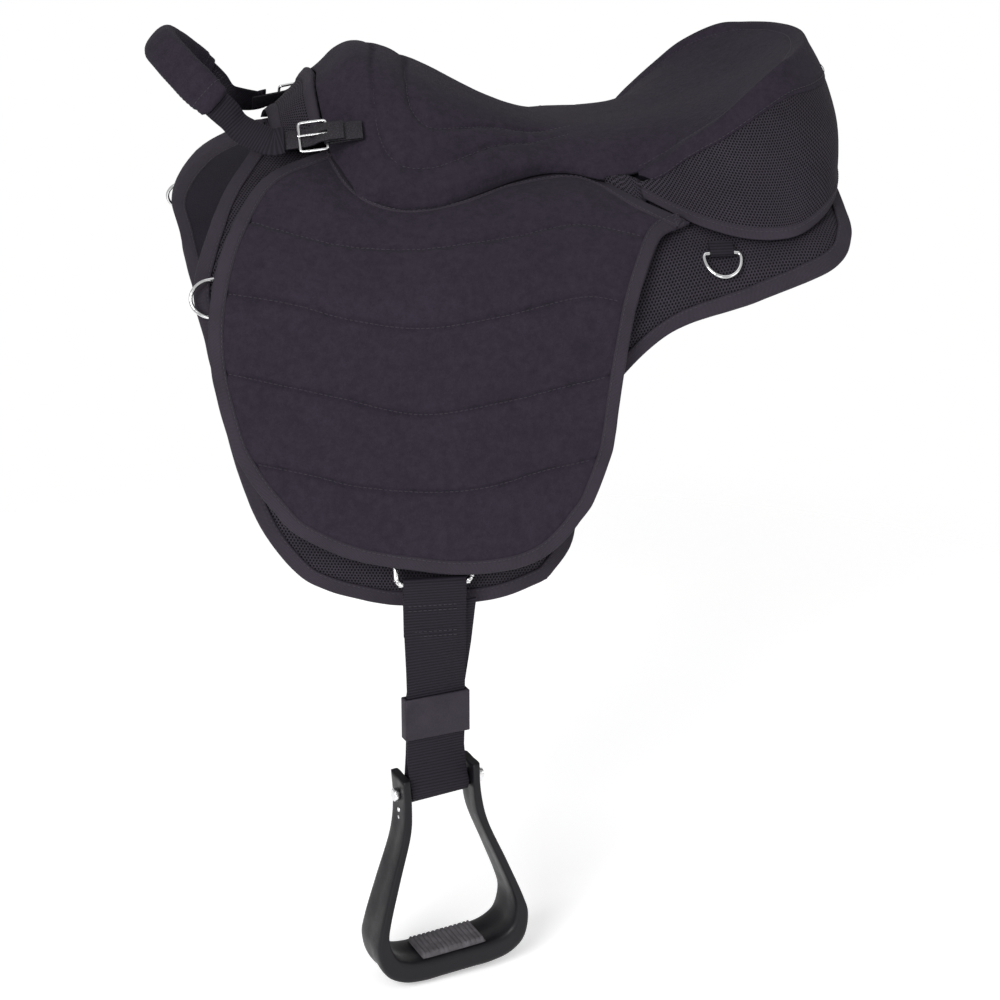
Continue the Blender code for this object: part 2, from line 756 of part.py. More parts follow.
def make_flap(side, word):
    def place(u, v, top):
        return flap_point(side, round(u * FLAP_COLUMNS), round(v * FLAP_LINES), top * FLAP_THICKNESS, top)

    def corner(column, line, level):
        return flap_point(side, column, line, level)

    last, end = FLAP_COLUMNS, FLAP_LINES
    for name, lower in (("flap_yoke_", False), ("flap_", True)):
        part_by_fold(slab(name + word, "suede", last, end, place), lower, side)
    front = [((0, line), (1, line)) for line in range(2, end)]
    bottom = [((0, end), (1, end - 1))]
    bottom += [((column, end), (column, end - 1)) for column in range(1, last)]
    bottom += [((last, end), (last - 1, end - 1))]
    rear = [((last, line), (last - 1, line)) for line in range(end - 1, 0, -1)]
    rear += [((last, 0), (last - 1, 1))]
    rear += [((column, 0), (column, 1)) for column in range(last - 1, TAPE_LAST_COLUMN, -1)]
    for name, spots, lower in (
        ("yoke_binding_front_", front, False),
        ("yoke_binding_rear_", rear, False),
        ("flap_binding_", front + bottom + rear, True),
    ):
        part_by_fold(folded_tape(name + word, spots, corner, FLAP_THICKNESS), lower, side)


# Seat


def seat_x(share):
    return SEAT_FRONT + share * SEAT_LENGTH


def edge_spot(spot):
    return on_back(seat_x(spot[0]), -spot[1] * SEAT_HALF_WIDTH, SEAT_LEVEL)


def rim_spot(spot, inset):
    """A place on the cantle's rim, moved inwards so that the wall stands outside the cover."""
    x, y, z = seat_x(spot[0]), -spot[1] * CANTLE_HALF_WIDTH, spot[2] * CANTLE_HEIGHT - 2 * PIPING_RADIUS
    centre = Vector((seat_x(RIM_CENTRE_SHARE), 0.0, z))
    place = Vector((x, y, z))
    return place + (centre - place).normalized() * inset


def pommel_spot(spot):
    return Vector((seat_x(spot[0]), -spot[1] * SEAT_HALF_WIDTH, spot[2] * POMMEL_HEIGHT))


def mirrored(points):
    """A line of points ending on the middle plane, carried on to the far side."""
    return points + [Vector((point.x, -point.y, point.z)) for point in points[-2::-1]]


COVER_INSET = WALL_THICKNESS + 3 * FIT
SIDE_LINE = [edge_spot(spot) for spot in SEAT_EDGE_SHARES] + [
    rim_spot(spot, COVER_INSET) for spot in CANTLE_RIM_SHARES[:CANTLE_SIDE_COUNT]
]
REAR_LINE = mirrored([rim_spot(spot, COVER_INSET) for spot in CANTLE_RIM_SHARES[CANTLE_SIDE_COUNT - 1 :]])
FRONT_LINE = mirrored(
    [SIDE_LINE[0]]
    + [edge_spot(spot) for spot in POMMEL_EDGE_SHARES]
    + [pommel_spot(spot) for spot in POMMEL_RIM_SHARES]
)


def flipped(point):
    return Vector((point.x, -point.y, point.z))


def seat_height(x):
    """The seat's height along the middle."""
    share = (x - SEAT_FRONT) / SEAT_LENGTH
    if share < SEAT_PROFILE_SHARES[-1][0]:
        return SEAT_LOW + smooth_profile(SEAT_PROFILE_SHARES, share) * (POMMEL_HEIGHT - SEAT_LOW)
    rise = smooth_profile(((SEAT_PROFILE_SHARES[-1][0], 0.0), *BOWL_PROFILE_SHARES), share)
    return SEAT_LOW + rise * (CANTLE_HEIGHT - 2 * PIPING_RADIUS - SEAT_LOW)


def patch(t, q):
    v = (q + 1) / 2
    near, far = smooth(SIDE_LINE, t), flipped(smooth(SIDE_LINE, t))
    front, rear = smooth(FRONT_LINE, v), smooth(REAR_LINE, v)
    ahead, behind = (mix(SIDE_LINE[end], flipped(SIDE_LINE[end]), v) for end in (0, -1))
    return mix(near, far, v) + mix(front, rear, t) - mix(ahead, behind, t)


def crown(x, q):
    """How much of the middle's rise the seat keeps this far across."""
    share = (x - SEAT_FRONT) / SEAT_LENGTH
    (first, first_end), (second, second_end) = CROWN_CHANGE_SHARES
    early = ease((share - first) / (first_end - first))
    late = ease((share - second) / (second_end - second))
    front, middle, rear = CROWN_SHARES
    power = mix(mix(front[0], middle[0], early), rear[0], late)
    root = mix(mix(front[1], middle[1], early), rear[1], late)
    return clamp(1 - abs(q) ** power) ** root


def arched(t, q):
    """Height from the middle's profile alone, before the front and rear edges pull it to their own lines."""
    side = smooth(SIDE_LINE, t).z
    x = patch(t, 0.0).x
    return side + (seat_height(x) - side) * crown(x, q)


@functools.lru_cache(maxsize=None)
def seat_top(t, q):
    """The seat's surface without its seams."""
    place = patch(t, q)
    v = (q + 1) / 2
    front_pull = 1 - ease(t / END_PULL_SHARES[0])
    rear_pull = ease((t - 1) / END_PULL_SHARES[1] + 1)
    place.z = arched(t, q)
    place.z += (smooth(FRONT_LINE, v).z - arched(0.0, q)) * front_pull
    place.z += (smooth(REAR_LINE, v).z - arched(1.0, q)) * rear_pull
    return place


def seat_normal(t, q):
    step = 0.01
    along = seat_top(min(t + step, 1.0), q) - seat_top(max(t - step, 0.0), q)
    across = seat_top(t, min(q + step, 1.0)) - seat_top(t, max(q - step, -1.0))
    normal = along.cross(across).normalized()
    share = (patch(t, 0.0).x - SEAT_FRONT) / SEAT_LENGTH
    upright = ease((share - 0.5) / 0.12)
    return mix(normal, Vector((0, 0, 1)), upright).normalized()


def seam_dip(t, q):
    """How deep the two seams round the pommel pull the cover in here."""
    dip = 0.0
    for across, along in zip(SEAM_ACROSS_SHARES, SEAM_ALONG_SHARES):
        fade = 1 - ease((t - 0.5) / 0.12)
        distance = abs(min(1 - abs(q) - across, t - along))
        dip = max(dip, (1 - ease(distance / 0.09)) * fade)
    return dip * SEAM_DEPTH


SEAT_LINE_SHARES = (
    0.0, 0.03, 0.07, 0.10, 0.135, 0.17, 0.205, 0.25, 0.30, 0.35, 0.40, 0.45, 0.50,
    0.55, 0.60, 0.64, 0.68, 0.72, 0.76, 0.80, 0.84, 0.88, 0.92, 0.96, 1.0,
)
HALF_SEAT_COLUMN_SHARES = (0.0, 0.12, 0.25, 0.37, 0.46, 0.54, 0.62, 0.70, 0.78, 0.86, 0.94, 1.0)


SEAT_COLUMN_SHARES = tuple(-share for share in HALF_SEAT_COLUMN_SHARES[:0:-1]) + HALF_SEAT_COLUMN_SHARES
CORE_LAST_LINES = (5, 14, len(SEAT_LINE_SHARES) - 2)


def make_seat():
    def cover_place(u, v, top):
        q = SEAT_COLUMN_SHARES[round(u * (len(SEAT_COLUMN_SHARES) - 1))]
        t = SEAT_LINE_SHARES[round(v * (len(SEAT_LINE_SHARES) - 1))]
        normal = seat_normal(t, q)
        place = seat_top(t, q).copy()
        if top:
            return place - normal * seam_dip(t, q)
        if abs(q) == 1:
            normal = Vector((normal.x, normal.y, normal.z * ease((place.x - seat_x(0.55)) / RING_STEP)))
        place -= normal.normalized() * COVER_THICKNESS
        place.z = max(place.z, level_height(place.x, place.y, SEAT_LEVEL))
        return place

    slab("seat_cover", "suede", len(SEAT_COLUMN_SHARES) - 1, len(SEAT_LINE_SHARES) - 1, cover_place)
    inner = SEAT_COLUMN_SHARES[2:-2:2]
    first = 1
    for name, last in zip(("pommel_core", "seat_foam", "cantle_core"), CORE_LAST_LINES):
        start, end = SEAT_LINE_SHARES[first] + CORE_GAP_SHARE, SEAT_LINE_SHARES[last] - CORE_GAP_SHARE
        stops = [start, *SEAT_LINE_SHARES[first + 1 : last], end]
        first = last

        def core_place(u, v, top, stops=stops):
            q = inner[round(u * (len(inner) - 1))]
            t = stops[round(v * (len(stops) - 1))]
            high = seat_top(t, q) - seat_normal(t, q) * (COVER_THICKNESS + CORE_CLEARANCE)
            floor = level_height(high.x, high.y, SEAT_LEVEL + CORE_CLEARANCE)
            return Vector((high.x, high.y, high.z if top else min(floor, high.z - LEAST_CORE)))

        slab(name, "foam", len(inner) - 1, len(stops) - 1, core_place)


def make_seat_base():
    def place(u, v, top):
        t = mix(*BASE_ALONG_SHARES, v)
        x = mix(SEAT_BASE_FRONT, SEAT_BASE_REAR, t)
        reach = (2 * u - 1) * SEAT_BASE_HALF_WIDTH * profile(SEAT_BASE_WIDTH_SHARES, t)
        return on_back(x, reach, SEAT_LEVEL - FIT - (1 - top) * SEAT_BASE_THICKNESS)

    slab("seat_base", "lining", 8, 13, place)


def make_spine_strip():
    """Webbing sewn over the channel between the two panels."""

    def place(u, v, top):
        x = mix(SPINE_STRIP_FRONT, SPINE_STRIP_REAR, v)
        return on_back(x, (2 * u - 1) * SPINE_STRIP_HALF_WIDTH, WEBBING_LEVEL + top * SPINE_STRIP_THICKNESS)

    slab("spine_strip", "webbing", 3, 14, place)


# Cantle wall


def wall_lines(level):
    return mirrored(
        [on_back(seat_x(spot[0]), -spot[1] * CANTLE_FOOT_WIDTH, level) for spot in CANTLE_FOOT_SHARES]
    )


RIM_LINE = mirrored([rim_spot(spot, 0.0) for spot in CANTLE_RIM_SHARES])
FOOT_LINE = wall_lines(WALL_LEVEL)
FOOT_NORMAL_LINE = wall_lines(WALL_LEVEL + WALL_THICKNESS)


@functools.lru_cache(maxsize=None)
def wall_ways(share):
    """Rim and foot at this share round the cantle from near to far, each with its way inwards."""
    step = 0.01
    rim, foot = smooth(RIM_LINE, share), smooth(FOOT_LINE, share)
    rim_ahead = smooth(RIM_LINE, share + step) - smooth(RIM_LINE, share - step)
    foot_ahead = smooth(FOOT_LINE, share + step) - smooth(FOOT_LINE, share - step)
    rim_way = Vector((0, 0, 1)).cross(rim_ahead).normalized()
    foot_way = (smooth(FOOT_NORMAL_LINE, share) - foot).cross(foot_ahead).normalized()
    return (rim, rim_way), (foot, foot_way)


def wall_point(share, down, depth):
    """A point of the cantle's wall: down it from the rim, and this far behind its outer face."""
    (rim, rim_way), (foot, foot_way) = wall_ways(mix(WALL_TRIM_SHARE, 1 - WALL_TRIM_SHARE, share))
    outer = mix(rim, foot, down)
    way = mix(rim_way, foot_way, down).normalized()
    rearwards = ease((outer.x - seat_x(0.80)) / (seat_x(1.0) - seat_x(0.80)))
    return outer + way * (depth - math.sin(math.pi * down) * WALL_BULGE * rearwards)


def band_share(share):
    """How far down the wall the suede band under the rim reaches."""
    middle = 1 - abs(2 * share - 1)
    (rim, _), (foot, _) = wall_ways(mix(WALL_TRIM_SHARE, 1 - WALL_TRIM_SHARE, share))
    return min(mix(RIM_BAND_SIDE, RIM_BAND_REAR, ease(middle * 1.2 - 0.2)) / (rim - foot).length, 0.45)


def make_wall():
    count = 26

    def band(u, v, top):
        down = mix(0.0, band_share(u), v)
        return wall_point(u, down, WALL_THICKNESS * (1 - top))

    def cover(u, v, top):
        down = mix(band_share(u) + FIT / CANTLE_HEIGHT * 2, 1.0, v)
        return wall_point(u, down, WALL_THICKNESS * (1 - top))

    slab("cantle_band", "suede", count, 1, band)
    slab("cantle_cover", "mesh_fabric", count, 3, cover)
    points = []
    for index in range(count + 1):
        share = index / count
        points.append(wall_point(share, 0.0, WALL_THICKNESS / 2) + Vector((0, 0, PIPING_RADIUS + 3 * FIT)))
    wire("cantle_binding", "tape", points, PIPING_RADIUS)


# Collar


def make_collar():
    def place(u, v, top):
        across = mix(COLLAR_TRIM_SHARE, 1 - COLLAR_TRIM_SHARE, u)
        high = smooth(FRONT_LINE, across) - Vector((COLLAR_SETBACK, 0, 0))
        low = on_back(COLLAR_FRONT, (2 * u - 1) * COLLAR_HALF_WIDTH, WALL_LEVEL)
        spot = mix(high, low, v)
        spot.z -= math.sin(math.pi * v) * COLLAR_SAG
        lean = Vector((-(high.z - low.z), 0, high.x - low.x)).normalized()
        lean = Vector((-abs(lean.x), 0, abs(lean.z))).normalized()
        way = mix(-lean, Vector((1, 0, 0)), v).normalized()
        return spot + way * WALL_THICKNESS * (1 - top)

    slab("pommel_collar", "mesh_fabric", 10, 4, place)


# Webbing, rings and tabs


def down_frame(x, reach, level):
    """At a place on the back: X forwards along the saddle, Y up its side, Z outwards."""
    side = -1 if reach < 0 else 1
    here = on_back(x, reach, level)
    up = (on_back(x, reach - side * RING_STEP, level) - here).normalized()
    return axes_at(here, Vector((-side, 0, 0)), up)


def side_strip(name, slot, x, half_width, start, end, level, thickness, steps, side):
    def place(u, v, top):
        return on_back(x + (2 * u - 1) * half_width, side * mix(start, end, v), level + top * thickness)

    return slab(name, slot, 1, steps, place)


def fold_path(radius, length, near_gap, count=8):
    """A hairpin in (up, out): up one leaf, round a bar at the origin and back up the other."""
    leaf = [(length, -near_gap), (length * 0.6, -mix(near_gap, radius, 0.3)), (radius * 1.4, -radius)]
    turn = arc((0.0, 0.0), radius, -90, -270, count)
    return leaf + turn + [(up, -out) for up, out in leaf[::-1]]


def rounded_outline(width, low, high, corner):
    """Points round a rectangle between these heights, with rounded corners."""
    across = width / 2 - corner
    low, high = low + corner, high - corner
    points = []
    for index, (x, y) in enumerate(((across, high), (across, low), (-across, low), (-across, high))):
        for step in range(3):
            angle = math.radians(90 - 90 * index - 45 * step)
            points.append((x + corner * math.cos(angle), y + corner * math.sin(angle), 0.0))
    return points


def ring(name, width, height, radius, corner, matrix):
    """A rounded loop hanging from its upper bar, which lies along X at the origin."""
    return wire(name, "chrome", rounded_outline(width, -height, 0.0, corner), radius, True, matrix)


def make_girth_billets(side, word):
    for x, name in zip(GIRTH_STRAP_XS, ("front", "rear")):
        side_strip(
            f"girth_billet_{name}_{word}", "webbing", x, GIRTH_WEBBING_WIDTH / 2,
            GIRTH_STRAP_TOP, GIRTH_STRAP_END, WEBBING_LEVEL, WEBBING_THICKNESS, 15, side,
        )


HANGER_RADIUS = RING_WIRE / 2 + 2 * FIT + WEBBING_THICKNESS / 2
HANGER_LEVEL = WEBBING_LEVEL + WEBBING_THICKNESS / 2
RING_LEVEL = HANGER_LEVEL + HANGER_RADIUS


def make_hanger(side, word):
    """Webbing down the panel, folded round the ring's upper bar and sewn back up."""
    matrix = down_frame(STIRRUP_X, side * RING_TOP, RING_LEVEL)
    leaning = matrix @ Matrix.Rotation(math.radians(-RING_LEAN if side == NEAR else 0.0), 4, "X")
    fold = [
        matrix @ Vector((0, up, out))
        for up, out in fold_path(HANGER_RADIUS, HANGER_LAP, WEBBING_THICKNESS / 2 + FIT)[3:]
    ]
    top = [on_back(STIRRUP_X, side * reach, HANGER_LEVEL) for reach in hanger_reaches()]
    middle = top + fold
    ways = []
    for index in range(len(middle)):
        ahead = middle[min(index + 1, len(middle) - 1)] - middle[max(index - 1, 0)]
        ways.append(Vector((1, 0, 0)).cross(ahead).normalized())

    def place(u, v, upper):
        index = round(v * (len(middle) - 1))
        spot = middle[index] + ways[index] * WEBBING_THICKNESS * (upper - 0.5)
        return spot + Vector(((u - 0.5) * STIRRUP_WEBBING_WIDTH, 0, 0))

    slab("stirrup_hanger_" + word, "webbing", 2, len(middle) - 1, place)
    ring("stirrup_ring_" + word, RING_WIDTH, RING_HEIGHT, RING_WIRE / 2, RING_CORNER, leaning)
    return leaning


def hanger_reaches():
    count = 21
    return [mix(HANGER_TOP, RING_TOP - HANGER_RADIUS * 1.2, index / count) for index in range(count + 1)]


TAB_RADIUS = SMALL_RING_WIRE / 2 + FIT + TAB_THICKNESS / 2


def dee_line(width, height, corner):
    """A straight bar along X at the origin, rounded at its ends, and half an ellipse below it."""
    half = width / 2
    points = [(half - corner, 0.0, 0.0), (half - corner * 0.3, -corner * 0.3, 0.0)]
    for step in range(9):
        angle = math.pi * step / 8
        points.append((half * math.cos(angle), -corner - (height - corner) * math.sin(angle), 0.0))
    return points + [(-x, y, z) for x, y, z in points[1::-1]]


def make_dee(name, matrix, tab_length):
    line = dee_line(SMALL_RING_WIDTH, SMALL_RING_HEIGHT, SMALL_RING_CORNER)
    wire("dee_" + name, "chrome", line, SMALL_RING_WIRE / 2, True, matrix)
    width = SMALL_RING_WIDTH - 2 * (SMALL_RING_CORNER + TAB_INSET)
    path = fold_path(TAB_RADIUS, tab_length, TAB_THICKNESS / 2 + FIT)
    strip("dee_tab_" + name, "webbing", width, TAB_THICKNESS, path, matrix)


def make_dees(side, word):
    level = PANEL_THICKNESS + PANEL_TAPE_FIT + BINDING_THICKNESS + SMALL_RING_WIRE / 2 + 2 * FIT
    here = on_back(FRONT_RING_X, side * FRONT_RING_S, level)
    along = (on_back(FRONT_RING_X, side * (FRONT_RING_S + RING_STEP), level) - here).normalized()
    make_dee("front_" + word, axes_at(here, along * side * -1, Vector((1, 0, 0))), FRONT_TAB_LENGTH)
    matrix = down_frame(REAR_RING_X, side * REAR_RING_TOP, WEBBING_LEVEL + TAB_RADIUS + TAB_THICKNESS / 2)
    make_dee("rear_" + word, matrix, REAR_TAB_LENGTH)


# Stirrup


def make_strap(ring_matrix):
    """Strap round the ring's lower bar and the sleeve on the stirrup's bolt, its end held by a keeper."""
    bar = ring_matrix @ Vector((0, -RING_HEIGHT, 0))
    bar_radius = HANGER_RADIUS
    sleeve_radius = SLEEVE_RADIUS + FIT + WEBBING_THICKNESS / 2
    ply = WEBBING_THICKNESS / 2 + FIT / 2
    path = [(-STRAP_LAP, -ply), (-STRAP_LAP / 2, -ply), (-bar_radius * 2, -mix(ply, bar_radius, 0.6))]
    path += arc((0.0, 0.0), bar_radius, -90, 90, 8)
    path += [(-bar_radius * 2, mix(ply, bar_radius, 0.6)), (-STRAP_LAP / 2, ply), (-STRAP_LAP, ply)]
    path += [(-share * STRAP_DROP, ply) for share in (0.4, 0.54, 0.68, 0.82)]
    path += [(sleeve_radius * 1.7 - STRAP_DROP, mix(ply, sleeve_radius, 0.45))]
    path += arc((-STRAP_DROP, 0.0), sleeve_radius, 70, 290, 12)
    path += [(sleeve_radius * 1.7 - STRAP_DROP, -mix(ply, sleeve_radius, 0.45))]
    path += [(-share * STRAP_DROP, -ply) for share in (0.82, 0.68)]
    path += [(-KEEPER_DROP + KEEPER_HEIGHT / 2, -ply)]
    tail = ply + WEBBING_THICKNESS + FIT * 2
    path += [(-STRAP_TAIL_END + STRAP_TAIL_RISE, -tail), (-STRAP_TAIL_TOP, -tail)]
    path += [(-STRAP_TAIL_TIP, -tail - FIT)]
    count = len(path)

    def turned_by(up):
        return math.radians(STRAP_TWIST) * ease((-up - STRAP_TWIST_START) / STRAP_TWIST_RUN)

    spots = [Vector(spot) for spot in path]
    normals = []
    for index in range(count):
        ahead = spots[min(index + 1, count - 1)] - spots[max(index - 1, 0)]
        normals.append(Vector((-ahead.y, ahead.x)).normalized())

    def place(u, v, top):
        index = round(v * (count - 1))
        spot = spots[index] + normals[index] * WEBBING_THICKNESS * (top - 0.5)
        x = (u - 0.5) * STIRRUP_WEBBING_WIDTH
        if index >= count - 3:
            x += STRAP_TAIL_SHIFT * (index - count + 4) / 3
        if index == count - 1:
            spot.x -= (0.5 - u) * STRAP_TAIL_SLANT
        turn = Matrix.Rotation(turned_by(spot.x), 3, "Z")
        roll = math.radians(-STRAP_ROLL) * ease((STRAP_ROLL_RUN * 2 - STRAP_DROP - spot.x) / STRAP_ROLL_RUN)
        low = Vector((0, 0, STRAP_DROP))
        return bar + turn @ (Matrix.Rotation(roll, 3, "Y") @ (Vector((x, -spot.y, spot.x)) + low) - low)

    slab("stirrup_strap", "strap", 2, count - 1, place)
    return bar


def make_keeper(bar):
    inner_x, inner_y = STIRRUP_WEBBING_WIDTH / 2 + 3 * FIT, WEBBING_THICKNESS + 3 * FIT
    outer_x, outer_y = inner_x + KEEPER_WALL, inner_y + KEEPER_WALL
    turn = Matrix.Rotation(math.radians(STRAP_TWIST), 3, "Z")

    def loop(x, y, z):
        return [bar + turn @ Vector((a * x, b * y, z)) for a, b in ((-1, -1), (1, -1), (1, 1), (-1, 1))]

    low, high = -KEEPER_DROP - KEEPER_HEIGHT / 2, -KEEPER_DROP + KEEPER_HEIGHT / 2
    rings = [
        loop(inner_x, inner_y, low), loop(outer_x, outer_y, low),
        loop(outer_x, outer_y, high), loop(inner_x, inner_y, high),
    ]
    obj = lofted("strap_keeper", "plastic", rings, closed=True)
    bevel(obj, KEEPER_WALL / 3, 1)


def stirrup_matrix(bar):
    turn = Matrix.Rotation(math.radians(STRAP_TWIST), 4, "Z")
    turn = turn @ Matrix.Rotation(math.radians(-STRAP_ROLL), 4, "Y")
    turn.translation = bar + Vector((0, 0, -STRAP_DROP))
    return turn


def arch_spot(table, turn):
    share = 1 - abs(2 * turn - 1)
    spot = smooth([Vector(item) for item in table], share)
    side = -1 if turn < 0.5 else 1
    if turn == 0.5:
        side = 0
    return Vector((side * spot.x * STIRRUP_HALF_WIDTH, 0, STIRRUP_RISE - spot.y * STIRRUP_HEIGHT))


def make_stirrup(bar):
    matrix = stirrup_matrix(bar)

    def place(u, v, top):
        inner, outer = arch_spot(STIRRUP_INNER_SHARES, u), arch_spot(STIRRUP_OUTER_SHARES, u)
        spot = mix(outer, inner, top)
        lowness = (STIRRUP_RISE - spot.z) / STIRRUP_HEIGHT
        depth = mix(STIRRUP_DEPTH_TOP, STIRRUP_DEPTH, ease(lowness * 1.2 - 0.2))
        spot.y = (v - 0.5) * depth
        return spot

    body = slab("stirrup_frame", "plastic", 26, 1, place)
    body.matrix_world = matrix
    bore = bore_cutter(matrix)
    cut(body, bore)
    bevel(body, STIRRUP_EDGE, 1)

    def pad_place(u, v, top):
        turn = mix(0.5 - TREAD_PAD_TURN, 0.5 + TREAD_PAD_TURN, u)
        spot = arch_spot(STIRRUP_INNER_SHARES, turn)
        spot.z += FIT + TREAD_PAD_THICKNESS * top
        spot.y = (v - 0.5) * STIRRUP_DEPTH * TREAD_PAD_SHARE
        return spot

    pad = slab("tread_pad", "rubber", 10, 1, pad_place)
    pad.matrix_world = matrix
    along = matrix @ Matrix.Rotation(math.pi / 2, 4, "Y")
    outer = STIRRUP_HALF_WIDTH * STIRRUP_OUTER_SHARES[0][0]
    inner = STIRRUP_HALF_WIDTH * STIRRUP_INNER_SHARES[0][0]
    head = BOLT_RADIUS * 1.4
    under, end = -outer - FIT, outer + BOLT_RADIUS * 1.8
    turned(
        "stirrup_bolt", "chrome",
        (
            (0.0, under - BOLT_RADIUS), (head * 0.9, under - BOLT_RADIUS), (head, under - BOLT_RADIUS * 0.7),
            (head, under), (BOLT_RADIUS, under), (BOLT_RADIUS, end), (0.0, end),
        ),
        along, 16,
    )
    low, high = BOLT_RADIUS * 1.25, BOLT_RADIUS * 2
    start, end = outer + FIT, outer + FIT + BOLT_RADIUS
    turned("stirrup_nut", "chrome", ((low, start), (high, start), (high, end), (low, end)), along, 6)
    low, end = BOLT_RADIUS + FIT, inner - FIT
    section = ((low, -end), (SLEEVE_RADIUS, -end), (SLEEVE_RADIUS, end), (low, end))
    turned("bolt_sleeve", "plastic", section, along, 20)
    return matrix


def bore_cutter(matrix):
    work = bmesh.new()
    radius, depth = BOLT_RADIUS + FIT, STIRRUP_HALF_WIDTH * 2
    bmesh.ops.create_cone(work, cap_ends=True, segments=20, radius1=radius, radius2=radius, depth=depth)
    bmesh.ops.rotate(work, verts=work.verts, matrix=Matrix.Rotation(math.pi / 2, 3, "Y"))
    return add("bolt_bore", mesh_from("bolt_bore", work), "plastic", matrix, CUTTERS)


# Buckles


def box_cutter(name, size, matrix):
    work = bmesh.new()
    bmesh.ops.create_cube(work, size=1)
    bmesh.ops.scale(work, vec=size, verts=work.verts)
    return add(name, mesh_from(name, work), "tape", matrix, CUTTERS)


PIN_LEVEL = BUCKLE_WIRE / 2 + FIT + PRONG_WIRE / 2
CHAPE_RADIUS = BUCKLE_WIRE / 2 + FIT + TAB_THICKNESS / 2
BILLET_LOW = BUCKLE_WIRE / 2 + FIT + BILLET_THICKNESS / 2
BILLET_HIGH = PIN_LEVEL + PRONG_WIRE / 2 + 2 * FIT + BILLET_THICKNESS / 2


def make_buckle(name, matrix):
    """Frame, with its pivot bar along X at the origin and its free bar above, and the pin between them."""
    outline = rounded_outline(BUCKLE_WIDTH, 0.0, BUCKLE_LENGTH, BUCKLE_CORNER)
    wire("buckle_" + name, "chrome", outline, BUCKLE_WIRE / 2, True, matrix)
    eye = [(0.0, PIN_LEVEL * math.cos(angle), PIN_LEVEL * math.sin(angle)) for angle in (
        math.radians(90 + 300 * index / 9) for index in range(10)
    )][::-1]
    shaft = [(0.0, BUCKLE_LENGTH * share, PIN_LEVEL) for share in (0.5, 0.9)]
    shaft += [(0.0, BUCKLE_LENGTH + PRONG_WIRE * 0.6, PIN_LEVEL)]
    wire("pin_" + name, "chrome", eye + shaft, PRONG_WIRE / 2, False, matrix)


def handle_frame(side):
    """At the pivot bar of a front buckle: X across the strap, Y forwards, Z outwards."""
    pivot = Vector((BUCKLE_X, side * BUCKLE_Y, BUCKLE_Z))
    return axes_at(pivot, Vector((0, BUCKLE_TILT_SHARE, -side)), Vector((-1, side * BUCKLE_TOE_SHARE, 0)))


def make_front_buckle(side, word):
    matrix = handle_frame(side)
    make_buckle("front_" + word, matrix)
    chape = strip(
        "buckle_chape_" + word, "strap", BILLET_WIDTH, TAB_THICKNESS,
        [(-up, out) for up, out in fold_path(CHAPE_RADIUS, CHAPE_LENGTH, TAB_THICKNESS / 2 + FIT)], matrix,
    )
    slot_size = (PRONG_WIRE + 4 * FIT, CHAPE_RADIUS * 5, CHAPE_RADIUS * 4)
    cut(chape, box_cutter("chape_slot_" + word, slot_size, matrix))
    path = [(-BILLET_END, BILLET_HIGH), (-BILLET_END / 2, BILLET_HIGH), (0.0, BILLET_HIGH)]
    path += [(BUCKLE_LENGTH * 0.25, BILLET_HIGH * 0.75), (BUCKLE_LENGTH * 0.5, 0.0)]
    path += [(BUCKLE_LENGTH * 0.75, -BILLET_LOW * 0.85), (BUCKLE_LENGTH, -BILLET_LOW)]
    path += [(BUCKLE_LENGTH + BILLET_REACH / 2, -BILLET_LOW), (BUCKLE_LENGTH + BILLET_REACH, -BILLET_LOW)]
    billet = strip("handle_billet_" + word, "strap", BILLET_WIDTH, BILLET_THICKNESS, path, matrix)
    hole_matrix = matrix @ Matrix.Translation((0, BUCKLE_LENGTH * 0.28, 0))
    hole_size = (PRONG_WIRE + 4 * FIT, BUCKLE_LENGTH * 0.66, BILLET_HIGH * 5)
    hole = box_cutter("billet_hole_" + word, hole_size, hole_matrix)
    cut(billet, hole)
    return matrix


def make_rear_buckle():
    matrix = axes_at(Vector((REAR_BUCKLE_X, 0, REAR_BUCKLE_Z)), Vector((0, 1, 0)), Vector((0, 0, -1)))
    matrix = matrix @ Matrix.Rotation(math.pi, 4, "Y")
    make_buckle("rear", matrix)
    ply = TAB_THICKNESS + FIT
    reaches = [mix(REAR_STRAP_START, REAR_STRAP_BEND, index / 3) for index in range(4)]
    low = [(x, on_back(x, 0.0, REAR_STRAP_LEVEL).z) for x in reaches]
    corner = low[-1]
    drop = REAR_BUCKLE_X - corner[0] - ply / 2
    angles = [math.radians(angle) for angle in (30, 60, 85)]
    centre = (corner[0], corner[1] - drop)
    bend = [(centre[0] + drop * math.sin(angle), centre[1] + drop * math.cos(angle)) for angle in angles]
    inner = low + bend
    outer = [(x, z + ply) for x, z in low]
    outer += [(x + ply * math.sin(angle), z + ply * math.cos(angle)) for (x, z), angle in zip(bend, angles)]
    turn = arc((REAR_BUCKLE_X, REAR_BUCKLE_Z), CHAPE_RADIUS, 30, -210, 8)
    path = [Vector(spot) for spot in outer + turn + inner[::-1]]

    def place(u, v, top):
        index = round(v * (len(path) - 1))
        ahead = (path[min(index + 1, len(path) - 1)] - path[max(index - 1, 0)]).normalized()
        spot = path[index] + Vector((-ahead.y, ahead.x)) * TAB_THICKNESS * (top - 0.5)
        return Vector((spot.x, (u - 0.5) * BILLET_WIDTH, spot.y))

    obj = slab("rear_strap", "strap", 1, len(path) - 1, place)
    slot = box_cutter("rear_slot", (PRONG_WIRE + 4 * FIT, CHAPE_RADIUS * 5, CHAPE_RADIUS * 4), matrix)
    cut(obj, slot)
    return matrix


# Handle


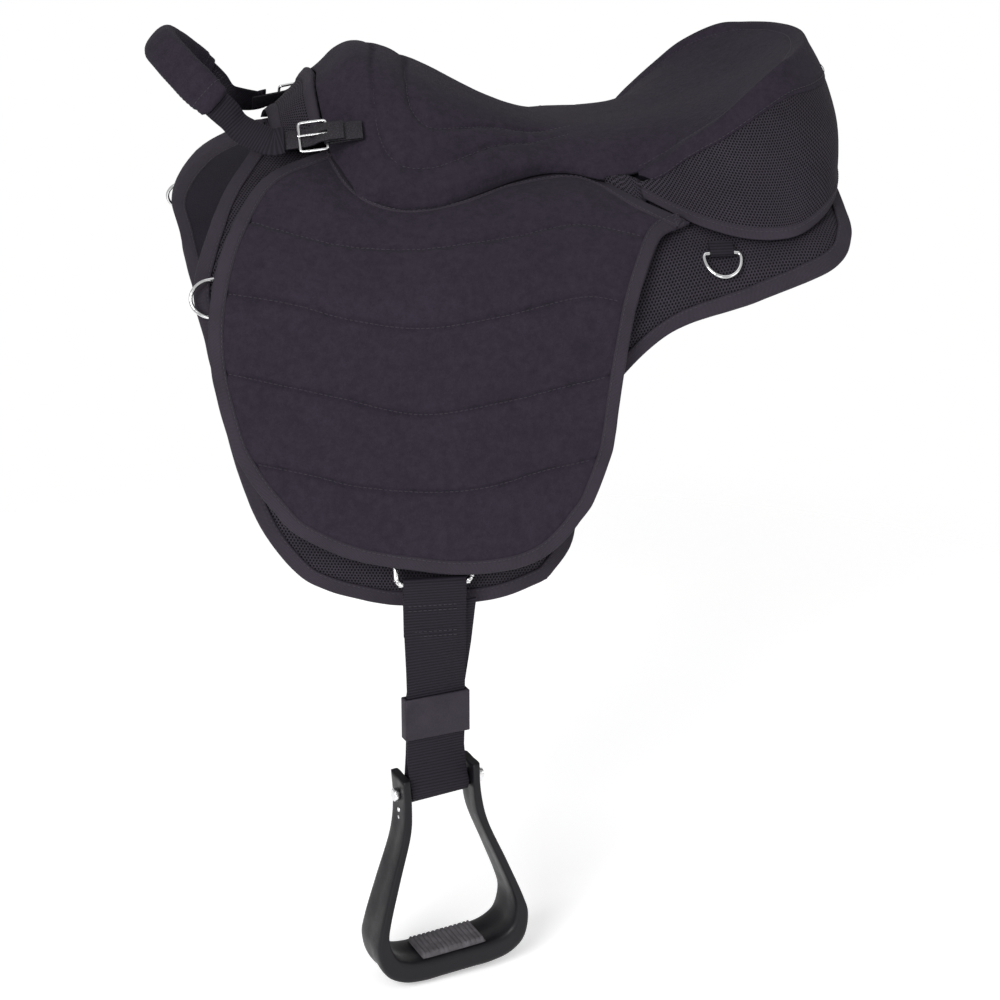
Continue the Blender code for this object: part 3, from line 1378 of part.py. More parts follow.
def handle_line():
    matrix = handle_frame(NEAR)
    level = WEBBING_THICKNESS / 2 + BILLET_THICKNESS / 2 + 2 * FIT - BILLET_LOW
    laps = [matrix @ Vector((0, BUCKLE_LENGTH + BILLET_REACH - lap, level)) for lap in (HANDLE_LAP, 0.0)]
    points = [
        Vector((HANDLE_PIVOT_X - x * HANDLE_LENGTH, -y * HANDLE_PIVOT_Y, z * HANDLE_RISE + HANDLE_PIVOT_Z))
        for x, y, z in HANDLE_SPOT_SHARES
    ]
    return mirrored(laps + points)


HANDLE_LINE = handle_line()


def handle_ways(share):
    """Middle of the handle's webbing here, its way across and its way outwards."""
    here = smooth(HANDLE_LINE, share)
    ahead = (smooth(HANDLE_LINE, share + 0.01) - smooth(HANDLE_LINE, share - 0.01)).normalized()
    side = -1 if share < 0.5 else 1
    end = Vector((0, BUCKLE_TILT_SHARE, -side)).normalized() * -side
    middle = Vector((HANDLE_RISE, 0, HANDLE_LENGTH)).normalized()
    across = mix(end, middle, ease((0.5 - abs(share - 0.5) - HANDLE_LAP_SHARE) / HANDLE_TWIST_SHARE))
    across = (across - ahead * across.dot(ahead)).normalized()
    return here, across, ahead.cross(across).normalized()


def make_handle():
    def place(u, v, top):
        here, across, out = handle_ways(v)
        return here + across * (u - 0.5) * HANDLE_WIDTH + out * (top - 0.5) * WEBBING_THICKNESS

    slab("handle_webbing", "webbing", 1, 30, place)
    rings = []
    inner_x, inner_y = HANDLE_WIDTH / 2 + 2 * FIT, WEBBING_THICKNESS / 2 + 4 * FIT
    count = 13
    for index in range(count + 1):
        share = mix(GRIP_START_SHARE, 1 - GRIP_START_SHARE, index / count)
        here, across, out = handle_ways(share)
        corners = []
        for step in range(13):
            angle = math.radians(-90 + GRIP_SLIT_ANGLE + (360 - 2 * GRIP_SLIT_ANGLE) * step / 12)
            corners.append((math.cos(angle) * GRIP_DEPTH / 2, math.sin(angle) * GRIP_HEIGHT / 2))
        corners += [(-GRIP_SLIT, -inner_x), (-inner_y, -inner_x), (-inner_y, inner_x)]
        corners += [(inner_y, inner_x), (inner_y, -inner_x), (GRIP_SLIT, -inner_x)]
        rings.append([here + out * a + across * b for a, b in corners])
    lofted("handle_grip", "suede", rings)


# Origins


def turn_about(spot, *names):
    """Puts the origins of these pieces on the axis that they move about."""
    for name in names:
        obj = bpy.data.objects[name]
        obj.data.transform(Matrix.Translation(-spot) @ obj.matrix_world)
        obj.matrix_world = Matrix.Translation(spot)


# Run


for side, word in SIDES:
    make_panel(side, word)
    make_flap(side, word)
    turn_about(fold_axis(side)[0], "flap_" + word, "flap_binding_" + word)
make_seat()
make_seat_base()
make_spine_strip()
make_wall()
make_collar()
for side, word in SIDES:
    make_girth_billets(side, word)
    ring_matrix = make_hanger(side, word)
    make_dees(side, word)
    make_front_buckle(side, word)
    if side == NEAR:
        bar = make_strap(ring_matrix)
        make_keeper(bar)
        make_stirrup(bar)
        turn_about(bar, "stirrup_strap", "strap_keeper")
make_rear_buckle()
make_handle()
turn_about(Vector((HANDLE_FOLD_X, 0, HANDLE_FOLD_Z)), "handle_webbing", "handle_grip")
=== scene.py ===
"""The looks of a treeless saddle, built round its packed solids.

Metres, in the solids' own frame: +Z up, -X to the pommel, -Y to the near side with the stirrup.
"""

import functools
import json
import math

import bmesh
import bpy
import numpy as np
from bpy.props import FloatProperty, FloatVectorProperty, PointerProperty
from mathutils import Matrix, Vector, noise
from mathutils.bvhtree import BVHTree


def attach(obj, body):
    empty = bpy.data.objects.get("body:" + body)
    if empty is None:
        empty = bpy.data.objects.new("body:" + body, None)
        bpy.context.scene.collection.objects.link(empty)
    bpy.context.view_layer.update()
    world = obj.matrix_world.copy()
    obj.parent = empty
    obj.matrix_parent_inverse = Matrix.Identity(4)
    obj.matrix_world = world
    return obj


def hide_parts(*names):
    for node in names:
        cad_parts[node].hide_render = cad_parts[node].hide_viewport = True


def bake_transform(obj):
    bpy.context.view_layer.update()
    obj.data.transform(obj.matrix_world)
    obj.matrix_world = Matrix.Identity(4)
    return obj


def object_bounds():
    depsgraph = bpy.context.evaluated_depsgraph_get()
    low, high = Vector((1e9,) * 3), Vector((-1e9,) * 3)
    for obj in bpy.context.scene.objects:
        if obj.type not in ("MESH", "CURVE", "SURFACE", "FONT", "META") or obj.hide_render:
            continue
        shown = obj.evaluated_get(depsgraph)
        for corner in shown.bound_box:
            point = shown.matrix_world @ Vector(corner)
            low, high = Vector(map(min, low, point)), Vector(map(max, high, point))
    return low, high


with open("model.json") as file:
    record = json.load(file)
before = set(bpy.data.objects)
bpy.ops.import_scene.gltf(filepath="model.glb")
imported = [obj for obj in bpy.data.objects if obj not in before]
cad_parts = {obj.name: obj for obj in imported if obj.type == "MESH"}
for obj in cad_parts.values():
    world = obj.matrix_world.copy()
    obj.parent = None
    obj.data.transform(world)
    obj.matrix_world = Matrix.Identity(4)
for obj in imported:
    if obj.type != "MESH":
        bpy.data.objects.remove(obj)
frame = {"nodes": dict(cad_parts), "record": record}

bl_info = {
    "name": "Treeless Saddle",
    "version": (1, 0, 0),
    "blender": (4, 5, 0),
    "location": "3D View > Sidebar > Saddle",
    "description": "Suede, mesh, webbing and hardware of a treeless saddle",
    "category": "Add Mesh",
}

CAD_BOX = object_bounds()
BODY_OF = {node: body for body, nodes in frame["record"]["behaviour"]["bodies"].items() for node in nodes}

# Sizes, as in the solids
FIT = 0.0003
MERGE = 0.0001
NEAR, FAR = -1, 1
SIDES = ((NEAR, "near"), (FAR, "far"))
BACK_LENGTH = 0.54
BACK_FRONT = -0.305
ARCH_RISE = 0.044
SHELF_WIDTH = 0.115
BEND_REACH = 0.26
SPINE_SHARES = (1.0, 0.68, 0.23, 0.0, 0.0, -0.18)
SHELF_WIDTH_SHARES = (0.61, 0.65, 0.78, 0.91, 1.0, 1.0)
BEND_START_SHARES = (0.38, 0.37, 0.37, 0.37, 0.40, 0.42)
BEND_END_SHARES = (1.0, 0.96, 0.90, 0.87, 0.92, 1.0)
SHELF_ANGLES = (30, 28, 20, 15, 13, 12)
SIDE_ANGLES = (79, 79, 79, 79, 66, 52)
SECTION_REACH = 0.47
SECTION_STEPS = 118
PANEL_THICKNESS = 0.014
WEBBING_THICKNESS = 0.002
WEBBING_GAP = 0.0012
FLAP_THICKNESS = 0.007
QUILT_PUFF = 0.003
COVER_THICKNESS = 0.003
WALL_THICKNESS = 0.005
BINDING_THICKNESS = 0.001
RING_STEP = 0.0105
PANEL_TAPE_FIT = 0.0008
FLARE_START = 0.13
FLARE_RUN = 0.07
FLARE = 0.007
HEM_FLARE_START = 0.28
HEM_FLARE_RUN = 0.11
HEM_FLARE = 0.010
WEBBING_LEVEL = PANEL_THICKNESS + WEBBING_GAP
FLAP_LEVEL = WEBBING_LEVEL + WEBBING_THICKNESS + 3 * FIT
WALL_LEVEL = FLAP_LEVEL
SEAT_LEVEL = FLAP_LEVEL + FLAP_THICKNESS + QUILT_PUFF + FIT
PANEL_FRONT = -0.309
PANEL_LENGTH = 0.549
PANEL_DROP = 0.434
PANEL_ROW_SHARES = (
    ((0.13, 0.03), (0.34, 0.03), (0.56, 0.03), (0.78, 0.03), (1.00, 0.03)),
    ((0.10, 0.12), (0.34, 0.12), (0.56, 0.12), (0.78, 0.11), (0.99, 0.10)),
    ((0.06, 0.22), (0.33, 0.22), (0.56, 0.22), (0.78, 0.21), (0.98, 0.20)),
    ((0.03, 0.32), (0.31, 0.33), (0.56, 0.33), (0.78, 0.31), (0.97, 0.30)),
    ((0.00, 0.44), (0.29, 0.44), (0.56, 0.43), (0.78, 0.38), (0.96, 0.38)),
    ((0.01, 0.52), (0.29, 0.52), (0.56, 0.49), (0.74, 0.43), (0.92, 0.45)),
    ((0.02, 0.59), (0.29, 0.59), (0.48, 0.55), (0.64, 0.48), (0.80, 0.50)),
    ((0.03, 0.66), (0.29, 0.66), (0.42, 0.61), (0.54, 0.54), (0.67, 0.53)),
    ((0.05, 0.77), (0.29, 0.78), (0.39, 0.74), (0.48, 0.68), (0.57, 0.65)),
    ((0.08, 0.87), (0.29, 0.89), (0.40, 0.87), (0.47, 0.84), (0.54, 0.78)),
    ((0.13, 0.95), (0.29, 0.96), (0.38, 0.95), (0.45, 0.93), (0.53, 0.89)),
    ((0.18, 0.98), (0.26, 1.00), (0.34, 1.00), (0.42, 0.99), (0.49, 0.96)),
)
FLAP_FRONT = -0.304
FLAP_LENGTH = 0.388
FLAP_DROP = 0.404
FLAP_ROW_SHARES = (
    (
        (0.30, 0.14), (0.34, 0.26), (0.42, 0.30), (0.54, 0.28),
        (0.67, 0.22), (0.81, 0.20), (0.91, 0.31), (1.00, 0.385),
    ),
    ((0.16, 0.23), (0.26, 0.29), (0.36, 0.35), (0.50, 0.35), (0.65, 0.30), (0.80, 0.28), (0.97, 0.39)),
    ((0.08, 0.35), (0.20, 0.38), (0.32, 0.40), (0.46, 0.40), (0.63, 0.38), (0.78, 0.36), (0.93, 0.405)),
    ((0.02, 0.49), (0.17, 0.50), (0.29, 0.52), (0.43, 0.53), (0.59, 0.51), (0.76, 0.48), (0.87, 0.50)),
    ((0.01, 0.62), (0.14, 0.64), (0.26, 0.66), (0.42, 0.69), (0.58, 0.67), (0.72, 0.64), (0.84, 0.62)),
    ((0.05, 0.79), (0.19, 0.81), (0.29, 0.83), (0.44, 0.84), (0.56, 0.83), (0.68, 0.80), (0.81, 0.78)),
    ((0.11, 0.89), (0.17, 0.93), (0.27, 0.97), (0.39, 0.99), (0.51, 1.00), (0.64, 0.98), (0.77, 0.90)),
)
FLAP_SEAM_ROWS = (0, 2, 3, 4, 5, 6)
FOLD_REACH = 0.212
FOLD_MARGIN = 0.007
SEAT_FRONT = -0.198
SEAT_LENGTH = 0.416
SEAT_HALF_WIDTH = 0.132
SEAT_LOW = 0.042
POMMEL_HEIGHT = 0.111
CANTLE_HEIGHT = 0.109
CANTLE_HALF_WIDTH = 0.124
CANTLE_FOOT_WIDTH = 0.175
SEAT_EDGE_SHARES = (
    (0.053, 0.89), (0.084, 0.95), (0.127, 1.00), (0.171, 1.00), (0.226, 0.97),
    (0.298, 0.88), (0.370, 0.76), (0.435, 0.68), (0.486, 0.69), (0.538, 0.76),
)
CANTLE_FOOT_SHARES = (
    (0.60, 0.64), (0.65, 0.78), (0.70, 0.885), (0.77, 0.97), (0.84, 1.00),
    (0.90, 0.97), (0.97, 0.81), (1.02, 0.50), (1.05, 0.00),
)
CANTLE_RIM_SHARES = (
    (0.60, 0.85, 0.16), (0.65, 0.88, 0.22), (0.70, 0.94, 0.38), (0.76, 1.00, 0.55), (0.82, 0.98, 0.73),
    (0.89, 0.84, 0.89), (0.94, 0.65, 0.94), (0.98, 0.37, 0.98), (1.00, 0.00, 1.00),
)
CANTLE_SIDE_COUNT = 6
POMMEL_EDGE_SHARES = ((0.030, 0.68), (0.014, 0.52))
POMMEL_RIM_SHARES = ((0.004, 0.44, 0.55), (0.0, 0.26, 0.72), (0.008, 0.0, 0.775))
SEAT_PROFILE_SHARES = (
    (0.01, 0.64), (0.03, 0.83), (0.06, 0.94), (0.08, 1.00), (0.11, 1.00), (0.14, 0.96), (0.19, 0.81),
    (0.23, 0.68), (0.30, 0.43), (0.37, 0.22), (0.42, 0.10), (0.46, 0.04), (0.53, 0.01), (0.59, 0.00),
)
BOWL_PROFILE_SHARES = ((0.67, 0.06), (0.76, 0.22), (0.86, 0.51), (0.94, 0.84), (1.00, 1.00))
CROWN_SHARES = ((2.0, 0.80), (2.3, 0.62), (3.0, 1.00))
CROWN_CHANGE_SHARES = ((0.14, 0.38), (0.52, 0.72))
END_PULL_SHARES = (0.16, 0.30)
RIM_CENTRE_SHARE = 0.70
PIPING_RADIUS = 0.0018
WALL_TRIM_SHARE = 0.012
COLLAR_SAG = 0.003
WALL_BULGE = 0.012
RIM_BAND_SIDE = 0.011
RIM_BAND_REAR = 0.032
COLLAR_FRONT = -0.234
COLLAR_HALF_WIDTH = 0.054
COLLAR_TRIM_SHARE = 0.26
COLLAR_SETBACK = 0.002
STIRRUP_X = -0.135
RING_WIRE = 0.0045
RING_WIDTH = 0.060
RING_HEIGHT = 0.040
RING_TOP = 0.374
RING_CORNER = 0.006
RING_LEAN = 18
SMALL_RING_WIRE = 0.003
SMALL_RING_WIDTH = 0.030
SMALL_RING_HEIGHT = 0.022
TAB_THICKNESS = 0.0012
SMALL_RING_CORNER = 0.004
REAR_RING_X = 0.106
REAR_RING_TOP = 0.180
FRONT_RING_X = -0.291
FRONT_RING_S = 0.200
STRAP_DROP = 0.176
STRAP_TWIST = 15
STRAP_ROLL = 3
STIRRUP_DEPTH_TOP = 0.028
STIRRUP_DEPTH = 0.044
STIRRUP_HEIGHT = 0.182
STIRRUP_HALF_WIDTH = 0.068
STIRRUP_RISE = 0.016
STIRRUP_OUTER_SHARES = (
    (0.50, 0.0), (0.50, 0.14), (0.57, 0.30), (0.78, 0.52), (0.95, 0.71), (1.00, 0.81), (0.92, 0.92),
    (0.72, 0.98), (0.45, 1.0), (0.22, 1.0), (0.0, 1.0),
)
STIRRUP_INNER_SHARES = (
    (0.40, 0.0), (0.40, 0.14), (0.44, 0.27), (0.62, 0.47), (0.79, 0.66), (0.83, 0.75), (0.76, 0.84),
    (0.60, 0.88), (0.40, 0.893), (0.20, 0.895), (0.0, 0.895),
)
TREAD_PAD_TURN = 0.105
TREAD_PAD_SHARE = 0.8
TREAD_PAD_THICKNESS = 0.003
HANDLE_PIVOT_X = -0.240
HANDLE_PIVOT_Y = 0.090
HANDLE_PIVOT_Z = 0.040
HANDLE_WIDTH = 0.024
HANDLE_LENGTH = 0.080
HANDLE_RISE = 0.072
HANDLE_SPOT_SHARES = (
    (0.27, 0.80, 0.20), (0.40, 0.77, 0.36), (0.52, 0.755, 0.49),
    (0.66, 0.69, 0.64), (0.80, 0.56, 0.79), (0.92, 0.36, 0.92), (0.985, 0.16, 0.985), (1.0, 0.0, 1.0),
)
HANDLE_TWIST_SHARE = 0.20
HANDLE_LAP_SHARE = 0.06
HANDLE_LAP = 0.012
GRIP_START_SHARE = 0.215
GRIP_HEIGHT = 0.031
GRIP_DEPTH = 0.018
BILLET_THICKNESS = 0.0016
BILLET_REACH = 0.024
BUCKLE_X = -0.196
BUCKLE_Y = 0.093
BUCKLE_Z = 0.052
BUCKLE_TILT_SHARE = 0.9
BUCKLE_TOE_SHARE = -0.25
BUCKLE_WIDTH = 0.026
BUCKLE_LENGTH = 0.022
BUCKLE_CORNER = 0.003
BUCKLE_WIRE = 0.0024
PRONG_WIRE = 0.0018
REAR_BUCKLE_X = 0.252
REAR_BUCKLE_Z = -0.015
COVER_INSET = WALL_THICKNESS + 3 * FIT
HANGER_RADIUS = RING_WIRE / 2 + 2 * FIT + WEBBING_THICKNESS / 2
HANGER_LEVEL = WEBBING_LEVEL + WEBBING_THICKNESS / 2
RING_LEVEL = HANGER_LEVEL + HANGER_RADIUS
TAB_RADIUS = SMALL_RING_WIRE / 2 + FIT + TAB_THICKNESS / 2
PIN_LEVEL = BUCKLE_WIRE / 2 + FIT + PRONG_WIRE / 2
BILLET_LOW = BUCKLE_WIRE / 2 + FIT + BILLET_THICKNESS / 2


def clamp(value):
    return min(max(value, 0.0), 1.0)


def ease(value):
    kept = clamp(value)
    return kept * kept * (3 - 2 * kept)


def mix(first, second, share):
    return first * (1 - share) + second * share


def smooth(values, share):
    """The value this share of the way along evenly spaced values, on a curve through all of them."""
    last = len(values) - 1
    index = min(max(math.floor(share * last), 0), last - 1)
    part = share * last - index
    before = values[index - 1] if index > 0 else values[0] * 2 - values[1]
    after = values[index + 2] if index + 2 <= last else values[last] * 2 - values[last - 1]
    start, end = values[index], values[index + 1]
    slope = (end - before) * 0.5
    next_slope = (after - start) * 0.5
    bend = (end - start) * 3 - slope * 2 - next_slope
    twist = (start - end) * 2 + slope + next_slope
    return start + slope * part + bend * part ** 2 + twist * part ** 3


def smooth_row(row, share):
    return Vector(smooth([Vector(item) for item in row], share))


def profile(table, place):
    """A height read off a table of (place, height), straight between its points."""
    if place <= table[0][0]:
        return table[0][1]
    for (start, low), (end, high) in zip(table, table[1:]):
        if place <= end:
            return mix(low, high, (place - start) / (end - start))
    return table[-1][1]


def smooth_profile(table, place):
    """The same, averaged over a short run so that it has no corners."""
    offsets = (-0.03, -0.02, -0.01, 0.0, 0.01, 0.02, 0.03)
    return sum(profile(table, place + offset) for offset in offsets) / len(offsets)


@functools.lru_cache(maxsize=None)
def station(x):
    share = (x - BACK_FRONT) / BACK_LENGTH
    return (
        smooth(SPINE_SHARES, share) * ARCH_RISE,
        math.radians(smooth(SHELF_ANGLES, share)),
        math.radians(smooth(SIDE_ANGLES, share)),
        smooth(SHELF_WIDTH_SHARES, share) * SHELF_WIDTH,
        smooth(BEND_START_SHARES, share) * BEND_REACH,
        smooth(BEND_END_SHARES, share) * BEND_REACH,
    )


def back_angle(x, reach):
    _, shelf, side, width, start, end = station(x)
    turn = ease((reach - start) / (end - start))
    return shelf * math.sin(clamp(reach / width) * math.pi / 2) + (side - shelf) * turn


@functools.lru_cache(maxsize=None)
def section(x):
    step = SECTION_REACH / SECTION_STEPS
    y, z = 0.0, station(x)[0]
    points = [(y, z)]
    for index in range(SECTION_STEPS):
        angle = back_angle(x, (index + 0.5) * step)
        y += math.cos(angle) * step
        z -= math.sin(angle) * step
        points.append((y, z))
    return points


def on_back(x, reach, level):
    """The point this far down the side, negative on the near one, and this far off the back."""
    side = -1 if reach < 0 else 1
    reach = abs(reach)
    place = reach / SECTION_REACH * SECTION_STEPS
    index = min(int(place), SECTION_STEPS - 1)
    (y0, z0), (y1, z1) = section(x)[index : index + 2]
    angle = back_angle(x, reach)
    y = mix(y0, y1, place - index) + level * math.sin(angle)
    z = mix(z0, z1, place - index) + level * math.cos(angle)
    return Vector((x, side * y, z))


def axes_at(origin, right, up):
    """A matrix with X to the right, Z outwards and Y up."""
    out = right.cross(up).normalized()
    right = right.normalized()
    up = out.cross(right)
    matrix = Matrix((right, up, out)).transposed().to_4x4()
    matrix.translation = origin
    return matrix


def panel_place(u, v):
    spot = smooth([smooth_row(row, u) for row in PANEL_ROW_SHARES], v)
    return PANEL_FRONT + spot.x * PANEL_LENGTH, spot.y * PANEL_DROP


def flap_place(u, row):
    spot = smooth([smooth_row(each, u) for each in FLAP_ROW_SHARES], row / (len(FLAP_ROW_SHARES) - 1))
    return FLAP_FRONT + spot.x * FLAP_LENGTH, spot.y * FLAP_DROP


def flare(reach):
    hem = ease((reach - HEM_FLARE_START) / HEM_FLARE_RUN) * HEM_FLARE
    return ease((reach - FLARE_START) / FLARE_RUN) * FLARE + hem


def fold_axis(side):
    """A point on the skirt's fold line, just off the flap's face, and the way down the flap there."""
    reach = side * FOLD_REACH
    level = FLAP_LEVEL + flare(FOLD_REACH) + FLAP_THICKNESS + QUILT_PUFF + FOLD_MARGIN
    angle = back_angle(STIRRUP_X, FOLD_REACH)
    return on_back(STIRRUP_X, reach, level), Vector((0, side * math.cos(angle), -math.sin(angle)))


def seat_x(share):
    return SEAT_FRONT + share * SEAT_LENGTH


def edge_spot(spot):
    return on_back(seat_x(spot[0]), -spot[1] * SEAT_HALF_WIDTH, SEAT_LEVEL)


def rim_spot(spot, inset):
    """A place on the cantle's rim, moved inwards so that the wall stands outside the cover."""
    x, y, z = seat_x(spot[0]), -spot[1] * CANTLE_HALF_WIDTH, spot[2] * CANTLE_HEIGHT - 2 * PIPING_RADIUS
    centre = Vector((seat_x(RIM_CENTRE_SHARE), 0.0, z))
    place = Vector((x, y, z))
    return place + (centre - place).normalized() * inset


def pommel_spot(spot):
    return Vector((seat_x(spot[0]), -spot[1] * SEAT_HALF_WIDTH, spot[2] * POMMEL_HEIGHT))


def flipped(point):
    return Vector((point.x, -point.y, point.z))


def mirrored(points):
    """A line of points ending on the middle plane, carried on to the far side."""
    return points + [flipped(point) for point in points[-2::-1]]


SIDE_LINE = [edge_spot(spot) for spot in SEAT_EDGE_SHARES]
SIDE_LINE += [rim_spot(spot, COVER_INSET) for spot in CANTLE_RIM_SHARES[:CANTLE_SIDE_COUNT]]
REAR_LINE = mirrored([rim_spot(spot, COVER_INSET) for spot in CANTLE_RIM_SHARES[CANTLE_SIDE_COUNT - 1 :]])
FRONT_LINE = mirrored(
    [SIDE_LINE[0]]
    + [edge_spot(spot) for spot in POMMEL_EDGE_SHARES]
    + [pommel_spot(spot) for spot in POMMEL_RIM_SHARES]
)


def seat_height(x):
    """The seat's height along the middle."""
    share = (x - SEAT_FRONT) / SEAT_LENGTH
    if share < SEAT_PROFILE_SHARES[-1][0]:
        return SEAT_LOW + smooth_profile(SEAT_PROFILE_SHARES, share) * (POMMEL_HEIGHT - SEAT_LOW)
    rise = smooth_profile(((SEAT_PROFILE_SHARES[-1][0], 0.0), *BOWL_PROFILE_SHARES), share)
    return SEAT_LOW + rise * (CANTLE_HEIGHT - 2 * PIPING_RADIUS - SEAT_LOW)


def patch(t, q):
    v = (q + 1) / 2
    near, far = smooth(SIDE_LINE, t), flipped(smooth(SIDE_LINE, t))
    front, rear = smooth(FRONT_LINE, v), smooth(REAR_LINE, v)
    ahead, behind = (mix(SIDE_LINE[end], flipped(SIDE_LINE[end]), v) for end in (0, -1))
    return mix(near, far, v) + mix(front, rear, t) - mix(ahead, behind, t)


def crown(x, q):
    """How much of the middle's rise the seat keeps this far across."""
    share = (x - SEAT_FRONT) / SEAT_LENGTH
    (first, first_end), (second, second_end) = CROWN_CHANGE_SHARES
    early = ease((share - first) / (first_end - first))
    late = ease((share - second) / (second_end - second))
    front, middle, rear = CROWN_SHARES
    power = mix(mix(front[0], middle[0], early), rear[0], late)
    root = mix(mix(front[1], middle[1], early), rear[1], late)
    return clamp(1 - abs(q) ** power) ** root


def arched(t, q):
    """Height from the middle's profile alone, before the front and rear edges pull it to their own lines."""
    side = smooth(SIDE_LINE, t).z
    x = patch(t, 0.0).x
    return side + (seat_height(x) - side) * crown(x, q)


@functools.lru_cache(maxsize=None)
def seat_top(t, q):
    """The seat's surface without its seams."""
    place = patch(t, q)
    v = (q + 1) / 2
    front_pull = 1 - ease(t / END_PULL_SHARES[0])
    rear_pull = ease((t - 1) / END_PULL_SHARES[1] + 1)
    place.z = arched(t, q)
    place.z += (smooth(FRONT_LINE, v).z - arched(0.0, q)) * front_pull
    place.z += (smooth(REAR_LINE, v).z - arched(1.0, q)) * rear_pull
    return place


def seat_normal(t, q):
    step = 0.01
    along = seat_top(min(t + step, 1.0), q) - seat_top(max(t - step, 0.0), q)
    across = seat_top(t, min(q + step, 1.0)) - seat_top(t, max(q - step, -1.0))
    normal = along.cross(across).normalized()
    share = (patch(t, 0.0).x - SEAT_FRONT) / SEAT_LENGTH
    upright = ease((share - 0.5) / 0.12)
    return mix(normal, Vector((0, 0, 1)), upright).normalized()


def wall_line(level):
    return mirrored([on_back(seat_x(x), -y * CANTLE_FOOT_WIDTH, level) for x, y in CANTLE_FOOT_SHARES])


RIM_LINE = mirrored([rim_spot(spot, 0.0) for spot in CANTLE_RIM_SHARES])
FOOT_LINE = wall_line(WALL_LEVEL)
FOOT_NORMAL_LINE = wall_line(WALL_LEVEL + WALL_THICKNESS)


@functools.lru_cache(maxsize=None)
def wall_ways(share):
    """Rim and foot at this share round the cantle from near to far, each with its way inwards."""
    step = 0.01
    rim, foot = smooth(RIM_LINE, share), smooth(FOOT_LINE, share)
    rim_ahead = smooth(RIM_LINE, share + step) - smooth(RIM_LINE, share - step)
    foot_ahead = smooth(FOOT_LINE, share + step) - smooth(FOOT_LINE, share - step)
    rim_way = Vector((0, 0, 1)).cross(rim_ahead).normalized()
    foot_way = (smooth(FOOT_NORMAL_LINE, share) - foot).cross(foot_ahead).normalized()
    return (rim, rim_way), (foot, foot_way)


def trimmed(share):
    """The share of the whole wall at this share of the part that is left between its ends."""
    return mix(WALL_TRIM_SHARE, 1 - WALL_TRIM_SHARE, share)


def wall_point(share, down, depth):
    """A point of the cantle's wall: down it from the rim, and this far behind its outer face."""
    (rim, rim_way), (foot, foot_way) = wall_ways(trimmed(share))
    outer = mix(rim, foot, down)
    way = mix(rim_way, foot_way, down).normalized()
    rearwards = ease((outer.x - seat_x(0.80)) / (seat_x(1.0) - seat_x(0.80)))
    return outer + way * (depth - math.sin(math.pi * down) * WALL_BULGE * rearwards)


def band_share(share):
    """How far down the wall the suede band under the rim reaches."""
    middle = 1 - abs(2 * share - 1)
    (rim, _), (foot, _) = wall_ways(trimmed(share))
    return min(mix(RIM_BAND_SIDE, RIM_BAND_REAR, ease(middle * 1.2 - 0.2)) / (rim - foot).length, 0.45)


def down_frame(x, reach, level):
    """At a place on the back: X forwards along the saddle, Y up its side, Z outwards."""
    side = -1 if reach < 0 else 1
    here = on_back(x, reach, level)
    up = (on_back(x, reach - side * RING_STEP, level) - here).normalized()
    return axes_at(here, Vector((-side, 0, 0)), up)


def rounded_outline(width, low, high, corner, steps):
    """Points round a rectangle between these heights, with rounded corners of this many steps."""
    across = width / 2 - corner
    low, high = low + corner, high - corner
    points = []
    for index, (x, y) in enumerate(((across, high), (across, low), (-across, low), (-across, high))):
        for step in range(steps + 1):
            angle = math.radians(90 - 90 * index - 90 / steps * step)
            points.append((x + corner * math.cos(angle), y + corner * math.sin(angle), 0.0))
    return points


def dee_line(width, height, corner):
    """A straight bar along X at the origin, rounded at its ends, and half an ellipse below it."""
    half = width / 2
    points = [(half - corner, 0.0, 0.0), (half - corner * 0.3, -corner * 0.3, 0.0)]
    for step in range(9):
        angle = math.pi * step / 8
        points.append((half * math.cos(angle), -corner - (height - corner) * math.sin(angle), 0.0))
    return points + [(-x, y, z) for x, y, z in points[1::-1]]


def stirrup_matrix(bar):
    turn = Matrix.Rotation(math.radians(STRAP_TWIST), 4, "Z")
    turn = turn @ Matrix.Rotation(math.radians(-STRAP_ROLL), 4, "Y")
    turn.translation = bar + Vector((0, 0, -STRAP_DROP))
    return turn


def arch_spot(table, turn):
    share = 1 - abs(2 * turn - 1)
    spot = smooth([Vector(item) for item in table], share)
    side = -1 if turn < 0.5 else 1
    if turn == 0.5:
        side = 0
    return Vector((side * spot.x * STIRRUP_HALF_WIDTH, 0, STIRRUP_RISE - spot.y * STIRRUP_HEIGHT))


def make_buckle(name, matrix):
    """Frame, with its pivot bar along X at the origin and its free bar above, and the pin between them."""
    outline = rounded_outline(BUCKLE_WIDTH, 0.0, BUCKLE_LENGTH, BUCKLE_CORNER, 2)
    wire("buckle_" + name, outline, BUCKLE_WIRE / 2, True, matrix)
    angles = [math.radians(90 + 300 * index / 9) for index in range(9, -1, -1)]
    pin = [(0.0, PIN_LEVEL * math.cos(angle), PIN_LEVEL * math.sin(angle)) for angle in angles]
    pin += [(0.0, BUCKLE_LENGTH * share, PIN_LEVEL) for share in (0.5, 0.9)]
    pin.append((0.0, BUCKLE_LENGTH + PRONG_WIRE * 0.6, PIN_LEVEL))
    wire("pin_" + name, pin, PRONG_WIRE / 2, False, matrix)


def handle_frame(side):
    """At the pivot bar of a front buckle: X across the strap, Y forwards, Z outwards."""
    pivot = Vector((BUCKLE_X, side * BUCKLE_Y, BUCKLE_Z))
    return axes_at(pivot, Vector((0, BUCKLE_TILT_SHARE, -side)), Vector((-1, side * BUCKLE_TOE_SHARE, 0)))


